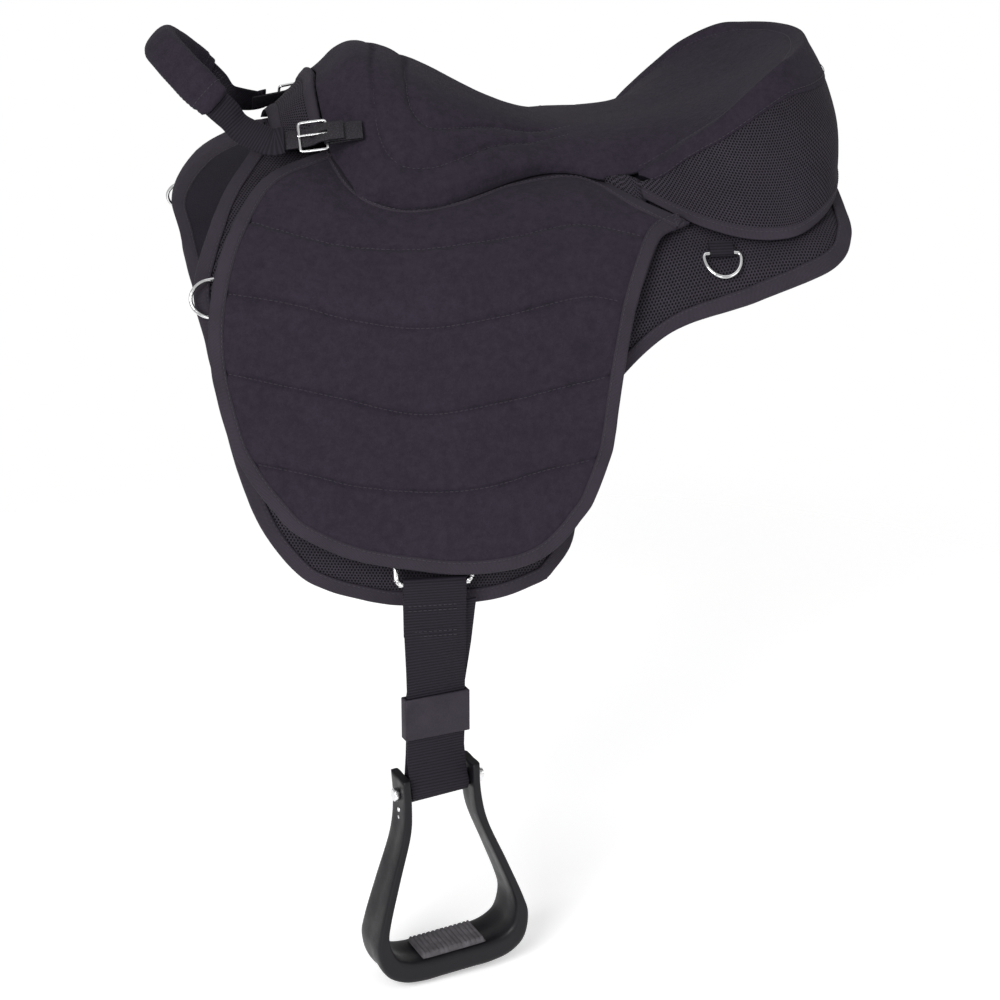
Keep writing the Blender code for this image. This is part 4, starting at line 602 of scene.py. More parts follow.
def handle_line():
    matrix = handle_frame(NEAR)
    level = WEBBING_THICKNESS / 2 + BILLET_THICKNESS / 2 + 2 * FIT - BILLET_LOW
    laps = [matrix @ Vector((0, BUCKLE_LENGTH + BILLET_REACH - lap, level)) for lap in (HANDLE_LAP, 0.0)]
    points = [
        Vector((HANDLE_PIVOT_X - x * HANDLE_LENGTH, -y * HANDLE_PIVOT_Y, z * HANDLE_RISE + HANDLE_PIVOT_Z))
        for x, y, z in HANDLE_SPOT_SHARES
    ]
    return mirrored(laps + points)


HANDLE_LINE = handle_line()


def handle_ways(share):
    """Middle of the handle's webbing here, its way across and its way outwards."""
    here = smooth(HANDLE_LINE, share)
    ahead = (smooth(HANDLE_LINE, share + 0.01) - smooth(HANDLE_LINE, share - 0.01)).normalized()
    side = -1 if share < 0.5 else 1
    end = Vector((0, BUCKLE_TILT_SHARE, -side)).normalized() * -side
    middle = Vector((HANDLE_RISE, 0, HANDLE_LENGTH)).normalized()
    across = mix(end, middle, ease((0.5 - abs(share - 0.5) - HANDLE_LAP_SHARE) / HANDLE_TWIST_SHARE))
    across = (across - ahead * across.dot(ahead)).normalized()
    return here, across, ahead.cross(across).normalized()


FLAP_BODY = {NEAR: "near_flap", FAR: "far_flap"}
LOOK = "_look"


# Shader arithmetic


class Link:
    """One shader value. Arithmetic on it adds Math nodes."""

    def __init__(self, tree, socket):
        self.tree = tree
        self.socket = socket

    def node(self, kind, inputs, output=0, **settings):
        """Any node, with its inputs by name or place, giving one of its outputs."""
        made = self.tree.nodes.new(kind)
        for key, value in settings.items():
            setattr(made, key, value)
        for key, value in inputs.items():
            if isinstance(value, Link):
                self.tree.links.new(value.socket, made.inputs[key])
            else:
                made.inputs[key].default_value = value
        return Link(self.tree, made.outputs[output])

    def math(self, operation, *others):
        return self.node("ShaderNodeMath", dict(enumerate((self, *others))), operation=operation)

    def length(self):
        return self.node("ShaderNodeVectorMath", {0: self}, "Value", operation="LENGTH")

    def __add__(self, other):
        return self.math("ADD", other)

    def __mul__(self, other):
        return self.math("MULTIPLY", other)

    def __sub__(self, other):
        return self.math("SUBTRACT", other)

    def __rsub__(self, other):
        return self * -1 + other

    def __truediv__(self, other):
        return self.math("DIVIDE", other)

    def wave(self, pitch):
        """0 to 1 and back over this length."""
        return (self / pitch * math.tau).math("SINE") * 0.5 + 0.5

    def ease(self, low, high):
        """0 below low, 1 above high, smooth between."""
        inputs = {"Value": self, "From Min": low, "From Max": high}
        return self.node("ShaderNodeMapRange", inputs, interpolation_type="SMOOTHSTEP")

    def colours(self, low, high):
        """From one colour to another as this value goes from 0 to 1."""
        return self.node("ShaderNodeMix", {0: self, 6: low, 7: high}, 2, data_type="RGBA")

    def shades(self, colour, low, high):
        """The same between two strengths of one colour."""
        return self.colours(shade(colour, low), shade(colour, high))

    def noise(self, scale, detail=2.0, roughness=0.5):
        inputs = {"Vector": self, "Scale": scale, "Detail": detail, "Roughness": roughness}
        return self.node("ShaderNodeTexNoise", inputs, "Fac")

    def bump(self, distance):
        return self.node("ShaderNodeBump", {"Height": self, "Distance": distance}, "Normal")


class Finish:
    """A material with its shader, and the coordinates that its pattern is made from."""

    def __init__(self, name):
        self.made = bpy.data.materials.new(name + LOOK)
        self.made.use_nodes = True
        self.tree = self.made.node_tree

    def place(self):
        """Metres in the object's own frame."""
        return Link(self.tree, self.tree.nodes.new("ShaderNodeTexCoord").outputs["Object"])

    def cloth(self):
        """Metres across and along the cloth."""
        source = self.tree.nodes.new("ShaderNodeUVMap")
        source.uv_map = "cloth"
        both = Link(self.tree, source.outputs["UV"])
        across = both.node("ShaderNodeSeparateXYZ", {0: both})
        return across, Link(self.tree, across.socket.node.outputs[1])

    def feed(self, **values):
        """Links or plain values into the shader's inputs."""
        for key, value in values.items():
            socket = self.tree.nodes["Principled BSDF"].inputs[key.replace("_", " ")]
            if isinstance(value, Link):
                self.tree.links.new(value.socket, socket)
            else:
                socket.default_value = value


def shade(colour, share):
    return (*(part * share for part in colour), 1.0)


# Materials. Noise scales are counts per metre.


def suede(looks, finish, place):
    cloud, brushed = place.noise(24.0, 3.0, 0.55), place.noise(150.0, 5.0, 0.72)
    fibre = place.noise(1000.0, 2.0, 0.6)
    worn = cloud * 0.22 + brushed * 0.50 + fibre * 0.36
    finish.feed(
        Base_Color=worn.ease(0.38, 0.72).shades(looks.suede, 0.76, 1.30),
        Normal=(fibre * 0.6 + place.noise(420.0) * 0.8 + brushed).bump(looks.nap_depth),
        Roughness=cloud.ease(0.3, 0.7) * 0.08 + 0.87,
        Specular_IOR_Level=0.10,
        Sheen_Weight=looks.suede_sheen,
    )


def mesh_fabric(looks, finish, place):
    """Spacer mesh: round holes on a six-sided lattice, over a darker layer."""
    across, along = finish.cloth()
    x, y = across / looks.mesh_pitch, along / (looks.mesh_pitch * math.sqrt(3))

    def from_centre(shift):
        side, up = (x + shift).math("FRACT") - 0.5, ((y + shift).math("FRACT") - 0.5) * math.sqrt(3)
        return side * side * 1.25 + up * up * 0.85

    reach = from_centre(0.0).math("MINIMUM", from_centre(0.5)).math("SQRT")
    strand = reach.ease(looks.mesh_hole * 0.72, looks.mesh_hole * 1.2)
    tone = place.noise(22.0, 3.0) * 0.5 + place.noise(700.0) * 0.7
    lit = tone.ease(0.35, 0.85).shades(looks.mesh, 0.8, 1.45)
    finish.feed(
        # Painted shade: the holes get 0.12 of the mesh colour, as the shade that falls inside them.
        Base_Color=strand.colours(shade(looks.mesh, 0.12), lit),
        Normal=(strand + place.noise(1500.0) * 0.25).bump(looks.mesh_pitch * 0.30),
        Roughness=strand * -0.2 + 0.95,
        Specular_IOR_Level=0.18,
    )


def tape(looks, finish, place):
    across, along = finish.cloth()
    rib = (along / looks.tape_rib * math.tau + across / looks.tape_rib * 1.6).math("SINE") * 0.5 + 0.5
    tone = rib * 0.45 + place.noise(900.0) * 0.35 + place.noise(30.0, 3.0) * 0.45
    finish.feed(
        Base_Color=tone.ease(0.25, 1.0).shades(looks.tape, 0.55, 1.22),
        Normal=(rib + place.noise(60.0, 3.0) * 1.5).bump(looks.tape_rib * 0.18),
        Roughness=0.78,
        Specular_IOR_Level=0.25,
    )


def webbing(looks, finish, place):
    """Flat webbing: ribs of weft with the warp's grain between them."""
    across, along = finish.cloth()
    rib, warp = along.wave(looks.weft_pitch), across.wave(looks.weft_pitch * 0.32)
    tone = rib * 0.6 + warp * 0.2 + place.noise(1100.0) * 0.35 + place.noise(35.0, 3.0) * 0.2
    finish.feed(
        Base_Color=tone.ease(0.2, 1.15).shades(looks.webbing, 0.45, 1.7),
        Normal=(rib + warp * 0.3 + place.noise(800.0) * 0.3).bump(looks.weft_pitch * 0.16),
        Roughness=0.75,
        Specular_IOR_Level=0.22,
    )


def strap(looks, finish, place):
    """Coated strap with a pebbled face."""
    pebble = place.node("ShaderNodeTexVoronoi", {"Vector": place, "Scale": 900.0}, "Distance")
    tone = pebble.ease(0.1, 0.6)
    finish.feed(
        Base_Color=tone.shades(looks.strap, 1.5, 0.6),
        Normal=(1 - pebble).bump(0.0004),
        Roughness=tone * 0.25 + 0.45,
        Specular_IOR_Level=0.35,
    )


def lining(looks, finish, place):
    weave = place.noise(1600.0) * 0.6 + place.noise(18.0, 3.0) * 0.6
    finish.feed(
        Base_Color=weave.ease(0.35, 0.85).shades(looks.lining, 0.75, 1.3),
        Normal=(place.noise(26.0, 4.0) * 3 + place.noise(900.0)).bump(0.0006),
        Roughness=0.70,
        Specular_IOR_Level=0.16,
    )


def thread(looks, finish, place):
    ply = place.noise(2500.0).ease(0.3, 0.7)
    finish.feed(Base_Color=ply.shades(looks.thread, 0.7, 1.3), Roughness=0.6, Specular_IOR_Level=0.3)


def chrome(looks, finish, place):
    worn = place.noise(260.0, 4.0, 0.65)
    finish.feed(
        Base_Color=worn.ease(0.2, 0.8).shades(looks.chrome, 0.9, 1.04),
        Normal=place.noise(500.0).bump(0.00003),
        Roughness=worn.ease(0.3, 0.8) * 0.14 + 0.10,
        Metallic=1.0,
    )


def plastic(looks, finish, place):
    rubbed = place.noise(38.0, 5.0, 0.65)
    finish.feed(
        Base_Color=rubbed.ease(0.45, 0.8).shades(looks.plastic, 0.74, 1.35),
        Normal=(place.noise(1500.0) + rubbed * 2).bump(0.00008),
        Roughness=rubbed.ease(0.3, 0.75) * 0.18 + 0.40,
        Specular_IOR_Level=0.26,
    )


def keeper(looks, finish, place):
    """Folded cloth of the keeper, in the bindings' colour."""
    grain = place.noise(700.0, 3.0, 0.6) * 0.5 + place.noise(60.0, 4.0) * 0.5
    finish.feed(
        Base_Color=grain.ease(0.3, 0.7).shades(looks.tape, 0.56, 0.94),
        Normal=grain.bump(0.00025),
        Roughness=0.6,
        Specular_IOR_Level=0.25,
    )


def rubber(looks, finish, place):
    dust = place.noise(120.0, 5.0, 0.7)
    finish.feed(
        Base_Color=dust.ease(0.35, 0.75).shades(looks.rubber, 0.95, 1.8),
        Normal=(dust + place.noise(1400.0)).bump(0.0001),
        Roughness=dust * 0.2 + 0.6,
        Specular_IOR_Level=0.4,
    )


RECIPES = {
    make.__name__: make
    for make in (suede, mesh_fabric, tape, webbing, strap, lining, thread, chrome, plastic, keeper, rubber)
}


def finish_named(name):
    """The material of this name, made the first time that it is asked for."""
    made = bpy.data.materials.get(name + LOOK)
    if made is None:
        finish = Finish(name)
        RECIPES[name](bpy.context.scene.saddle_looks, finish, finish.place())
        made = finish.made
    return made


# Making shapes

WIRE_STEPS = 4
WIRE_END_SHARE, WIRE_END_REACH = 0.55, 0.5
TUBE_SIDES = 14
THREAD_SIDES = 5
THREAD_SECTION = ((-0.5, 0.45), (-0.28, 1.0), (0.28, 1.0), (0.5, 0.45))
THREAD_SINK = 1.2
FLAT_ANGLE, FLAT_SHAPE = 0.3, 0.9
ROUNDED_ANGLE = 0.7
SHARP_ANGLE = 50
ROUNDING, FINE_ROUNDING, BROAD_ROUNDING = 0.0003, 0.0002, 0.0004
TINY = 1e-9


def shown(name, data):
    obj = bpy.data.objects.new(name, data)
    bpy.context.scene.collection.objects.link(obj)
    return obj


def put(name, places, faces, cloth, slots, marks=None):
    """A mesh object whose faces point outwards, with metres of cloth at each corner of each face."""
    mesh = bpy.data.meshes.new(name)
    mesh.from_pydata([tuple(place) for place in places], [], faces)
    layer = mesh.uv_layers.new(name="cloth")
    layer.data.foreach_set("uv", [part for corner in cloth for part in corner])
    for slot in slots:
        mesh.materials.append(finish_named(slot))
    if marks:
        mesh.polygons.foreach_set("material_index", marks)
    mesh.polygons.foreach_set("use_smooth", [True] * len(faces))
    work = bmesh.new()
    work.from_mesh(mesh)
    if work.calc_volume(signed=True) < 0:
        bmesh.ops.reverse_faces(work, faces=work.faces)
    work.to_mesh(mesh)
    work.free()
    return shown(name, mesh)


def goes(obj, slot, body, *nodes):
    """What the piece is made of, the body that it moves with and the solids that it stands for.

    A side in place of a body means its flap, which bends where the skirt leaves the yoke.
    """
    if body in FLAP_BODY:
        point, down = fold_axis(body)
        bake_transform(obj)
    else:
        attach(obj, body)
    if nodes:
        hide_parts(*nodes)


def cloth_grid(name, columns, lines, point, cloth, slots):
    """A closed sheet: point(column, line, top) places its corners, cloth(column, line) is its flat place."""
    wide = columns + 1
    half = wide * (lines + 1)
    spots = [(column, line) for line in range(lines + 1) for column in range(wide)]
    places = [point(column, line, top) for top in (1, 0) for column, line in spots]
    flat = [cloth(column, line) for column, line in spots] * 2
    faces, marks = [], []
    for line in range(lines):
        for column in range(columns):
            a = line * wide + column
            square = (a, a + 1, a + wide + 1, a + wide)
            faces += [square, tuple(corner + half for corner in square[::-1])]
            marks += [0, len(slots) - 1]
    edge = list(range(wide)) + [line * wide + columns for line in range(1, lines + 1)]
    edge += [lines * wide + column for column in range(columns - 1, -1, -1)]
    edge += [line * wide for line in range(lines - 1, 0, -1)]
    for here, after in zip(edge, edge[1:] + edge[:1]):
        faces.append((here, here + half, after + half, after))
        marks.append(0)
    corners = [flat[corner] for face in faces for corner in face]
    return put(name, places, faces, corners, slots, marks)


def run(name, rings, slot, body, *nodes, closed=False):
    """Rings of corners skinned over, with the cloth laid round each ring and along the run."""
    count, total = len(rings[0]), len(rings)
    places = [corner for ring in rings for corner in ring]
    middles = [sum(ring, Vector()) / count for ring in rings]
    widest = rings[total // 2]
    along, around = [0.0], [0.0]
    for index in range(total):
        along.append(along[-1] + (middles[(index + 1) % total] - middles[index]).length)
    for index in range(count):
        around.append(around[-1] + (widest[(index + 1) % count] - widest[index]).length)
    faces, corners = [], []
    for index in range(total if closed else total - 1):
        start, end = index * count, (index + 1) % total * count
        for step in range(count):
            following = (step + 1) % count
            faces.append((start + step, start + following, end + following, end + step))
            corners += [
                (around[step], along[index]), (around[step + 1], along[index]),
                (around[step + 1], along[index + 1]), (around[step], along[index + 1]),
            ]
    if not closed:
        for ring, way in ((0, -1), (total - 1, 1)):
            faces.append(tuple(ring * count + step for step in range(count))[::way])
            corners += [(0.0, 0.0)] * count
    made = put(name, places, faces, corners, [slot])
    goes(made, slot, body, *nodes)
    return made


def padded_sheet(name, grid, point, cloth, slot, body, nodes, fill):
    """A lined sheet of cloth over its padding."""
    sheet = cloth_grid(name, *grid, point, cloth, [slot, "lining"])
    goes(sheet, slot, body, *nodes)


def length_of(points):
    return math.fsum((after - here).length for here, after in zip(points, points[1:]))


def walk(points, goals):
    """The leg of a line on which each of these rising distances falls, and how far along that leg."""
    lengths = [(after - here).length for here, after in zip(points, points[1:])]
    index, passed = 0, 0.0
    for goal in goals:
        while index < len(lengths) - 1 and passed + lengths[index] < goal:
            passed += lengths[index]
            index += 1
        yield index, clamp((goal - passed) / max(lengths[index], TINY))


def resampled(loop, pitch):
    """The same closed line with evenly spaced points."""
    line = [*loop, loop[0]]
    total = length_of(line)
    count = round(total / pitch)
    goals = [total * step / count for step in range(count)]
    return [line[index].lerp(line[index + 1], share) for index, share in walk(line, goals)]


def rounded(points, reach, closed):
    """The same line with each point moved to the mean of those this many places either side."""
    count = len(points)
    made = []
    for index in range(count):
        keep = reach if closed else min(reach, index, count - 1 - index)
        near = [points[(index + step) % count] for step in range(-keep, keep + 1)]
        made.append(sum(near, near[0] * 0) / len(near))
    return made


def wire(name, points, radius, closed, matrix):
    """A round chromed bar bent along these points, for the node of the same name."""
    line = [Vector(point) for point in points]
    count = len(line) * WIRE_STEPS
    if closed:
        turns = line[-2:] + line + line[:3]
        bent = [smooth(turns, (2 + step / WIRE_STEPS) / (len(line) + 4)) for step in range(count)]
    else:
        bent = [smooth(line, step / count) for step in range(count + 1)]
    bent = rounded([matrix @ point for point in bent], 1, closed)
    rings = tube(bent, [radius] * len(bent), closed)
    reach = radius * WIRE_END_REACH
    if not closed:
        first, last = (
            [end.lerp(corner, WIRE_END_SHARE) + (end - before).normalized() * reach for corner in ring]
            for ring, end, before in ((rings[0], bent[0], bent[1]), (rings[-1], bent[-1], bent[-2]))
        )
        rings = [first, *rings, last]
    run(name + "_formed", rings, "chrome", BODY_OF[name], name, closed=closed)


def tube(line, radii, closed=False, sides=TUBE_SIDES):
    """Rings round a line, without twist."""
    count = len(line)
    rings = []
    for index, (spot, size) in enumerate(zip(line, radii)):
        before = line[index - 1] if closed or index else spot
        after = line[(index + 1) % count] if closed or index < count - 1 else spot
        ahead = (after - before).normalized()
        if index == 0:
            across = ahead.orthogonal()
        across = (across - ahead * across.dot(ahead)).normalized()
        up = ahead.cross(across)
        angles = [math.tau * step / sides for step in range(sides)]
        rings.append([spot + (across * math.cos(angle) + up * math.sin(angle)) * size for angle in angles])
    return rings


def stitched(name, runs, looks, slot, body):
    """Short raised threads along each run of (points, normals)."""
    places, faces = [], []
    sides, radius = range(THREAD_SIDES), looks.stitch_radius
    for points, normals in runs:
        count = int(length_of(points) / looks.stitch_pitch)
        goals = [(step + 0.5) * looks.stitch_pitch for step in range(count)]
        for index, share in walk(points, goals):
            middle = points[index].lerp(points[index + 1], share)
            up = normals[index].lerp(normals[index + 1], share).normalized()
            ahead = (points[index + 1] - points[index]).normalized()
            across = ahead.cross(up).normalized()
            first = len(places)
            for place, size in THREAD_SECTION:
                spot = middle + ahead * place * looks.stitch_length - up * radius * (1 - size) * THREAD_SINK
                for angle in (math.tau * turn / len(sides) for turn in sides):
                    places.append(spot + (across * math.cos(angle) + up * math.sin(angle)) * radius * size)
            for start in range(first, len(places) - len(sides), len(sides)):
                for turn in sides:
                    a, b = start + turn, start + (turn + 1) % len(sides)
                    faces.append((a, b, b + len(sides), a + len(sides)))
            faces.append(tuple(first + turn for turn in sides)[::-1])
            faces.append(tuple(len(places) - len(sides) + turn for turn in sides))
    goes(put(name, places, faces, [(0.0, 0.0)] * sum(map(len, faces)), ["thread"]), slot, body)


def dressed(node, slot, width, across=(1, 0, 0), along=(0, 0, 1), finish=""):
    """A copy of a solid with its flat faces whole, its edges rounded and its cloth laid across and along."""
    work = bmesh.new()
    work.from_mesh(frame["nodes"][node].data)
    bmesh.ops.remove_doubles(work, verts=work.verts, dist=MERGE / 4)
    flat = {"angle_face_threshold": FLAT_ANGLE, "angle_shape_threshold": FLAT_SHAPE}
    bmesh.ops.join_triangles(work, faces=work.faces, **flat)
    folds = (edge for edge in work.edges if len(edge.link_faces) == 2)
    sharp = [edge for edge in folds if edge.calc_face_angle(0) > ROUNDED_ANGLE]
    bmesh.ops.bevel(
        work, geom=sharp, offset=width, segments=2, profile=0.5, affect="EDGES", clamp_overlap=True
    )
    layer = work.loops.layers.uv.new("cloth")
    first, second = Vector(across).normalized(), Vector(along).normalized()
    for face in work.faces:
        face.smooth = True
        for loop in face.loops:
            loop[layer].uv = (loop.vert.co.dot(first), loop.vert.co.dot(second))
    mesh = bpy.data.meshes.new(node + "_formed")
    work.to_mesh(mesh)
    work.free()
    mesh.materials.append(finish_named(finish or slot))
    mesh.set_sharp_from_angle(angle=math.radians(SHARP_ANGLE))
    goes(shown(node + "_formed", mesh), slot, BODY_OF[node], node)


# Flat patterns laid over the back

EDGE_PITCH = 0.0028
FLAP_GRID = 132, 28
PANEL_GRID = 96, 100
FLAP_PRESS = FLAP_THICKNESS, 0.62, 0.12, 0.018
PANEL_PRESS = PANEL_THICKNESS, 0.60, 0.10, 0.022
FLAP_FILL, PANEL_FILL = 0.6, 0.7
SEAM_CROWDING = 0.11
CORNER_START = Vector((0.72, 0.80))
CORNER_DROP, CORNER_PINCH = 0.22, 0.08
PANEL_TAPE_SHARE = 1.08
STITCH_INSET = 0.0018
STITCH_LIFT_SHARE = 0.8
PILLOW_REACH, PILLOW_START, PILLOW_RUN = 0.015, 0.009, 0.035
PUCKER_REACH, PUCKER_START, PUCKER_RUN = 0.009, 0.004, 0.012
PUCKER_SHARE = 1.6
CREASE_REACH = 0.0022
SOFT_RUN = 0.03
STEP_OUT = 0.001

# Waves and puckers: noise scales along and down, in counts per metre, and the row of noise.
PUCKERS = 95, 60, 2.0
SOFT_WAVES = 22, 22, 7.0
PANEL_WAVES = 17, 17, 3.0

# Changes of the tape along its run: share, pace and the row of noise.
TAPE_WANDER = 0.035, 0.13, 1.7
TAPE_SWELL = 0.25, 0.21, 5.1


class Pattern:
    """A sheet's shape in (x, reach), with each corner's distance from its edge and from its seams."""

    def __init__(self, place, grid, seams=()):
        self.grid = columns, lines = grid
        self.spots = [
            [Vector(place(column / columns, line / lines)) for column in range(columns + 1)]
            for line in range(lines + 1)
        ]
        left, right = ([row[end] for row in self.spots] for end in (0, -1))
        loop = left + self.spots[-1][1:] + right[-2::-1] + self.spots[0][-2:0:-1]
        self.edge = edge = rounded(resampled(loop, EDGE_PITCH), 2, True)
        ways = [after - before for before, after in zip(edge[-1:] + edge[:-1], edge[1:] + edge[:1])]
        self.inward = [Vector((way.y, -way.x)).normalized() for way in ways]
        if (self.spots[lines // 2][columns // 2] - edge[0]).dot(self.inward[0]) < 0:
            self.inward = [-way for way in self.inward]
        self.from_edge = self.distance([edge])
        self.from_seam = self.distance([self.spots[round(seam * lines)] for seam in seams])

    def distance(self, runs):
        """How far each corner is from the nearest point of these runs, or 1 m."""
        grid = np.array([[tuple(spot) for spot in row] for row in self.spots])
        nearest = np.full(grid.shape[:2], 1.0)
        for points in (np.array([tuple(point) for point in each]) for each in runs):
            for row, found in zip(grid, nearest):
                away = row[:, None] - points[None]
                np.minimum(found, np.hypot(away[..., 0], away[..., 1]).min(1), out=found)
        return nearest

    def cloth(self, column, line):
        return tuple(self.spots[line][column])


def squeezed(inset, press):
    """How high a sheet's two faces are, this far in from its bound edge."""
    thickness, top_share, low_share, run_in = press
    share = ease(inset / run_in)
    return thickness * mix(top_share, 1.0, share), thickness * mix(low_share, 0.0, share)


def edging(pattern, press, put_at, width, thickness):
    """Rings of the tape folded round a pattern's edge, rounded over it."""
    rings = []
    for index, (spot, inward) in enumerate(zip(pattern.edge, pattern.inward)):
        wide, lift = (
            size * (1 + change * noise.noise(Vector((index * pace, row, 0))))
            for size, (change, pace, row) in ((width, TAPE_WANDER), (thickness, TAPE_SWELL))
        )
        face = (
            (wide, 0.15), (wide - lift * 0.5, 0.85), (wide * 0.6, 1.0),
            (wide * 0.3, 1.05), (thickness, 1.0), (0.0, 0.75),
        )
        section = [(inset, squeezed(inset, press)[0] + lift * share) for inset, share in face]
        rim = squeezed(0.0, press)
        section += [(-lift * out, mix(*rim, down)) for out, down in ((0.75, 0.3), (0.95, 0.5), (0.75, 0.7))]
        section += [(inset, squeezed(inset, press)[1] - lift * share) for inset, share in face[::-1]]
        rings.append([put_at(spot + inward * inset, level) for inset, level in section])
    return rings


def laid(put_at, spots, lift=0.0):
    """Points over these places and levels, with the sheet's normals."""
    normals = [(put_at(spot, level + STEP_OUT) - put_at(spot, level)).normalized() for spot, level in spots]
    return [put_at(spot, level + lift) for spot, level in spots], normals


def edge_runs(looks, pattern, press, put_at, inset, pressed_at):
    """A line on each face of the tape, this far inside a pattern's edge."""
    high, low = squeezed(pressed_at, press)
    lift = looks.tape_thickness * STITCH_LIFT_SHARE
    loop = [spot + inward * inset for spot, inward in zip(pattern.edge, pattern.inward)]
    return [laid(put_at, [(spot, level) for spot in [*loop, loop[0]]]) for level in (high + lift, low - lift)]


def waves(spot, scales):
    along, down, row = scales
    return noise.noise(Vector((spot.x * along, spot.y * down, row)))


def quilt_level(looks, spot, from_edge, from_seam):
    """The flap's outer face: pillows between the seams, with puckers and a crease along each."""
    high, _ = squeezed(from_edge, FLAP_PRESS)
    pillow = (1 - math.exp(-from_seam / PILLOW_REACH)) * ease((from_edge - PILLOW_START) / PILLOW_RUN)
    pull = math.exp(-from_seam / PUCKER_REACH) * ease((from_edge - PUCKER_START) / PUCKER_RUN)
    pucker = waves(spot, PUCKERS) * looks.pucker * pull * PUCKER_SHARE
    soft = waves(spot, SOFT_WAVES) * looks.softness * ease(from_edge / SOFT_RUN)
    crease = looks.seam_depth * math.exp(-((from_seam / CREASE_REACH) ** 2))
    return high + QUILT_PUFF * pillow + pucker + soft - crease


def build_flaps(looks):
    """Each flap is one quilted sheet with a bound edge, stitched across and round."""
    rows = len(FLAP_ROW_SHARES) - 1
    columns, lines_a_row = FLAP_GRID

    def place(u, v):
        """On the flap, with its lines crowded towards the seams and its low corners drawn in."""
        corner = clamp((abs(2 * u - 1) - CORNER_START.x) / (1 - CORNER_START.x))
        corner *= clamp((v - CORNER_START.y) / (1 - CORNER_START.y))
        row = v * rows - SEAM_CROWDING * math.sin(math.tau * v * rows) - CORNER_DROP * corner * corner
        return flap_place(mix(u, 0.5, CORNER_PINCH * corner * corner), clamp(row / rows) * rows)

    wide = looks.tape_width
    seams = FLAP_SEAM_ROWS[1:-1]
    pattern = Pattern(place, (columns, rows * lines_a_row), [row / rows for row in seams])
    heights = [
        [quilt_level(looks, *each) for each in zip(*row)]
        for row in zip(pattern.spots, pattern.from_edge.tolist(), pattern.from_seam.tolist())
    ]
    for side, word in SIDES:
        def put_at(spot, level, side=side):
            return on_back(spot.x, side * spot.y, FLAP_LEVEL + flare(spot.y) + level)

        def point(column, line, top):
            level = heights[line][column] if top else squeezed(pattern.from_edge[line][column], FLAP_PRESS)[1]
            return put_at(pattern.spots[line][column], level)

        nodes = ["flap_" + word, "flap_yoke_" + word]
        quilt = "flap_quilt_" + word, pattern.grid, point, pattern.cloth, "suede"
        padded_sheet(*quilt, side, nodes, FLAP_FILL)
        rings = edging(pattern, FLAP_PRESS, put_at, wide, looks.tape_thickness)
        nodes = [node + word for node in ("flap_binding_", "yoke_binding_front_", "yoke_binding_rear_")]
        run("flap_tape_" + word, rings, "tape", side, *nodes, closed=True)
        runs = edge_runs(looks, pattern, FLAP_PRESS, put_at, wide - STITCH_INSET, wide)
        for line in (round(seam / rows * pattern.grid[1]) for seam in seams):
            row = zip(pattern.spots[line], heights[line], pattern.from_edge[line])
            inside = [(spot, level) for spot, level, away in row if away > wide]
            runs.append(laid(put_at, inside, looks.stitch_radius * 0.4))
        stitched("flap_stitches_" + word, runs, looks, "tape", side)


def build_panels(looks):
    """The two bound mesh panels, with the smooth lining that lies on the horse."""
    pattern = Pattern(panel_place, PANEL_GRID)
    wide = looks.tape_width * PANEL_TAPE_SHARE
    inset = wide - STITCH_INSET
    for side, word in SIDES:
        def put_at(spot, level, side=side):
            return on_back(spot.x, side * spot.y, level)

        def point(column, line, top):
            spot = pattern.spots[line][column]
            high, low = squeezed(pattern.from_edge[line][column], PANEL_PRESS)
            wave = (waves(spot, PANEL_WAVES) - 1) * looks.softness
            return put_at(spot, high + wave if top else low)

        mesh = "panel_mesh_" + word, PANEL_GRID, point, pattern.cloth, "mesh_fabric"
        padded_sheet(*mesh, "saddle", ["panel_" + word], PANEL_FILL)
        rings = edging(pattern, PANEL_PRESS, put_at, wide, looks.tape_thickness)
        run("panel_tape_" + word, rings, "tape", "saddle", "panel_binding_" + word, closed=True)
        runs = edge_runs(looks, pattern, PANEL_PRESS, put_at, inset, inset)
        stitched("panel_stitches_" + word, runs, looks, "tape", "saddle")


# Seat

SEAT_GRID = 180, 180
SEAT_FILL, COLLAR_FILL, GRIP_FILL = 0.8, 0.6, 0.8
LINING_SHARE = 0.8
ROLL_START, ROLL_ENDS = 0.955, (0.52, 0.58)
ROLL_DEPTH = QUILT_PUFF + 0.0012
SEARCH_START, SEARCH_REACH = 0.01, 0.03

# Seams round the pommel: (along, across) from the middle back to where each fades out.
SEAT_SEAM_SHARES = (
    (
        (0.165, 0.0), (0.155, 0.22), (0.14, 0.42), (0.12, 0.66), (0.12, 0.79), (0.14, 0.86), (0.185, 0.885),
        (0.235, 0.885), (0.28, 0.875), (0.33, 0.84), (0.385, 0.76), (0.45, 0.64), (0.54, 0.50),
    ),
    (
        (0.24, 0.0), (0.235, 0.20), (0.23, 0.38), (0.225, 0.52), (0.23, 0.62), (0.25, 0.68), (0.285, 0.69),
        (0.34, 0.62), (0.40, 0.50), (0.475, 0.38), (0.56, 0.30),
    ),
)
SEAM_FADE_SHARES = 0.42, 0.12
SEAM_STEPS = 90
SEAT_PULL_REACH, SEAT_PUCKER_REACH, SEAT_CREASE_REACH = 0.012, 0.010, 0.0024
SEAT_PUCKER_SCALE = 90
SEAT_WAVES = ((16, 1.2), (45, 0.35))


@functools.lru_cache(maxsize=None)
def seat_seam(index):
    """(t, q) along one seam from the near side to the far side, and its places on the seat."""
    half = [Vector(share) for share in SEAT_SEAM_SHARES[index]]
    line = rounded([smooth(half, step / SEAM_STEPS) for step in range(SEAM_STEPS + 1)], 5, False)
    shares = [(spot.x, -spot.y) for spot in line[::-1]] + [(spot.x, spot.y) for spot in line[1:]]
    return shares, np.array([tuple(seat_top(round(t, 5), round(q, 5))) for t, q in shares])


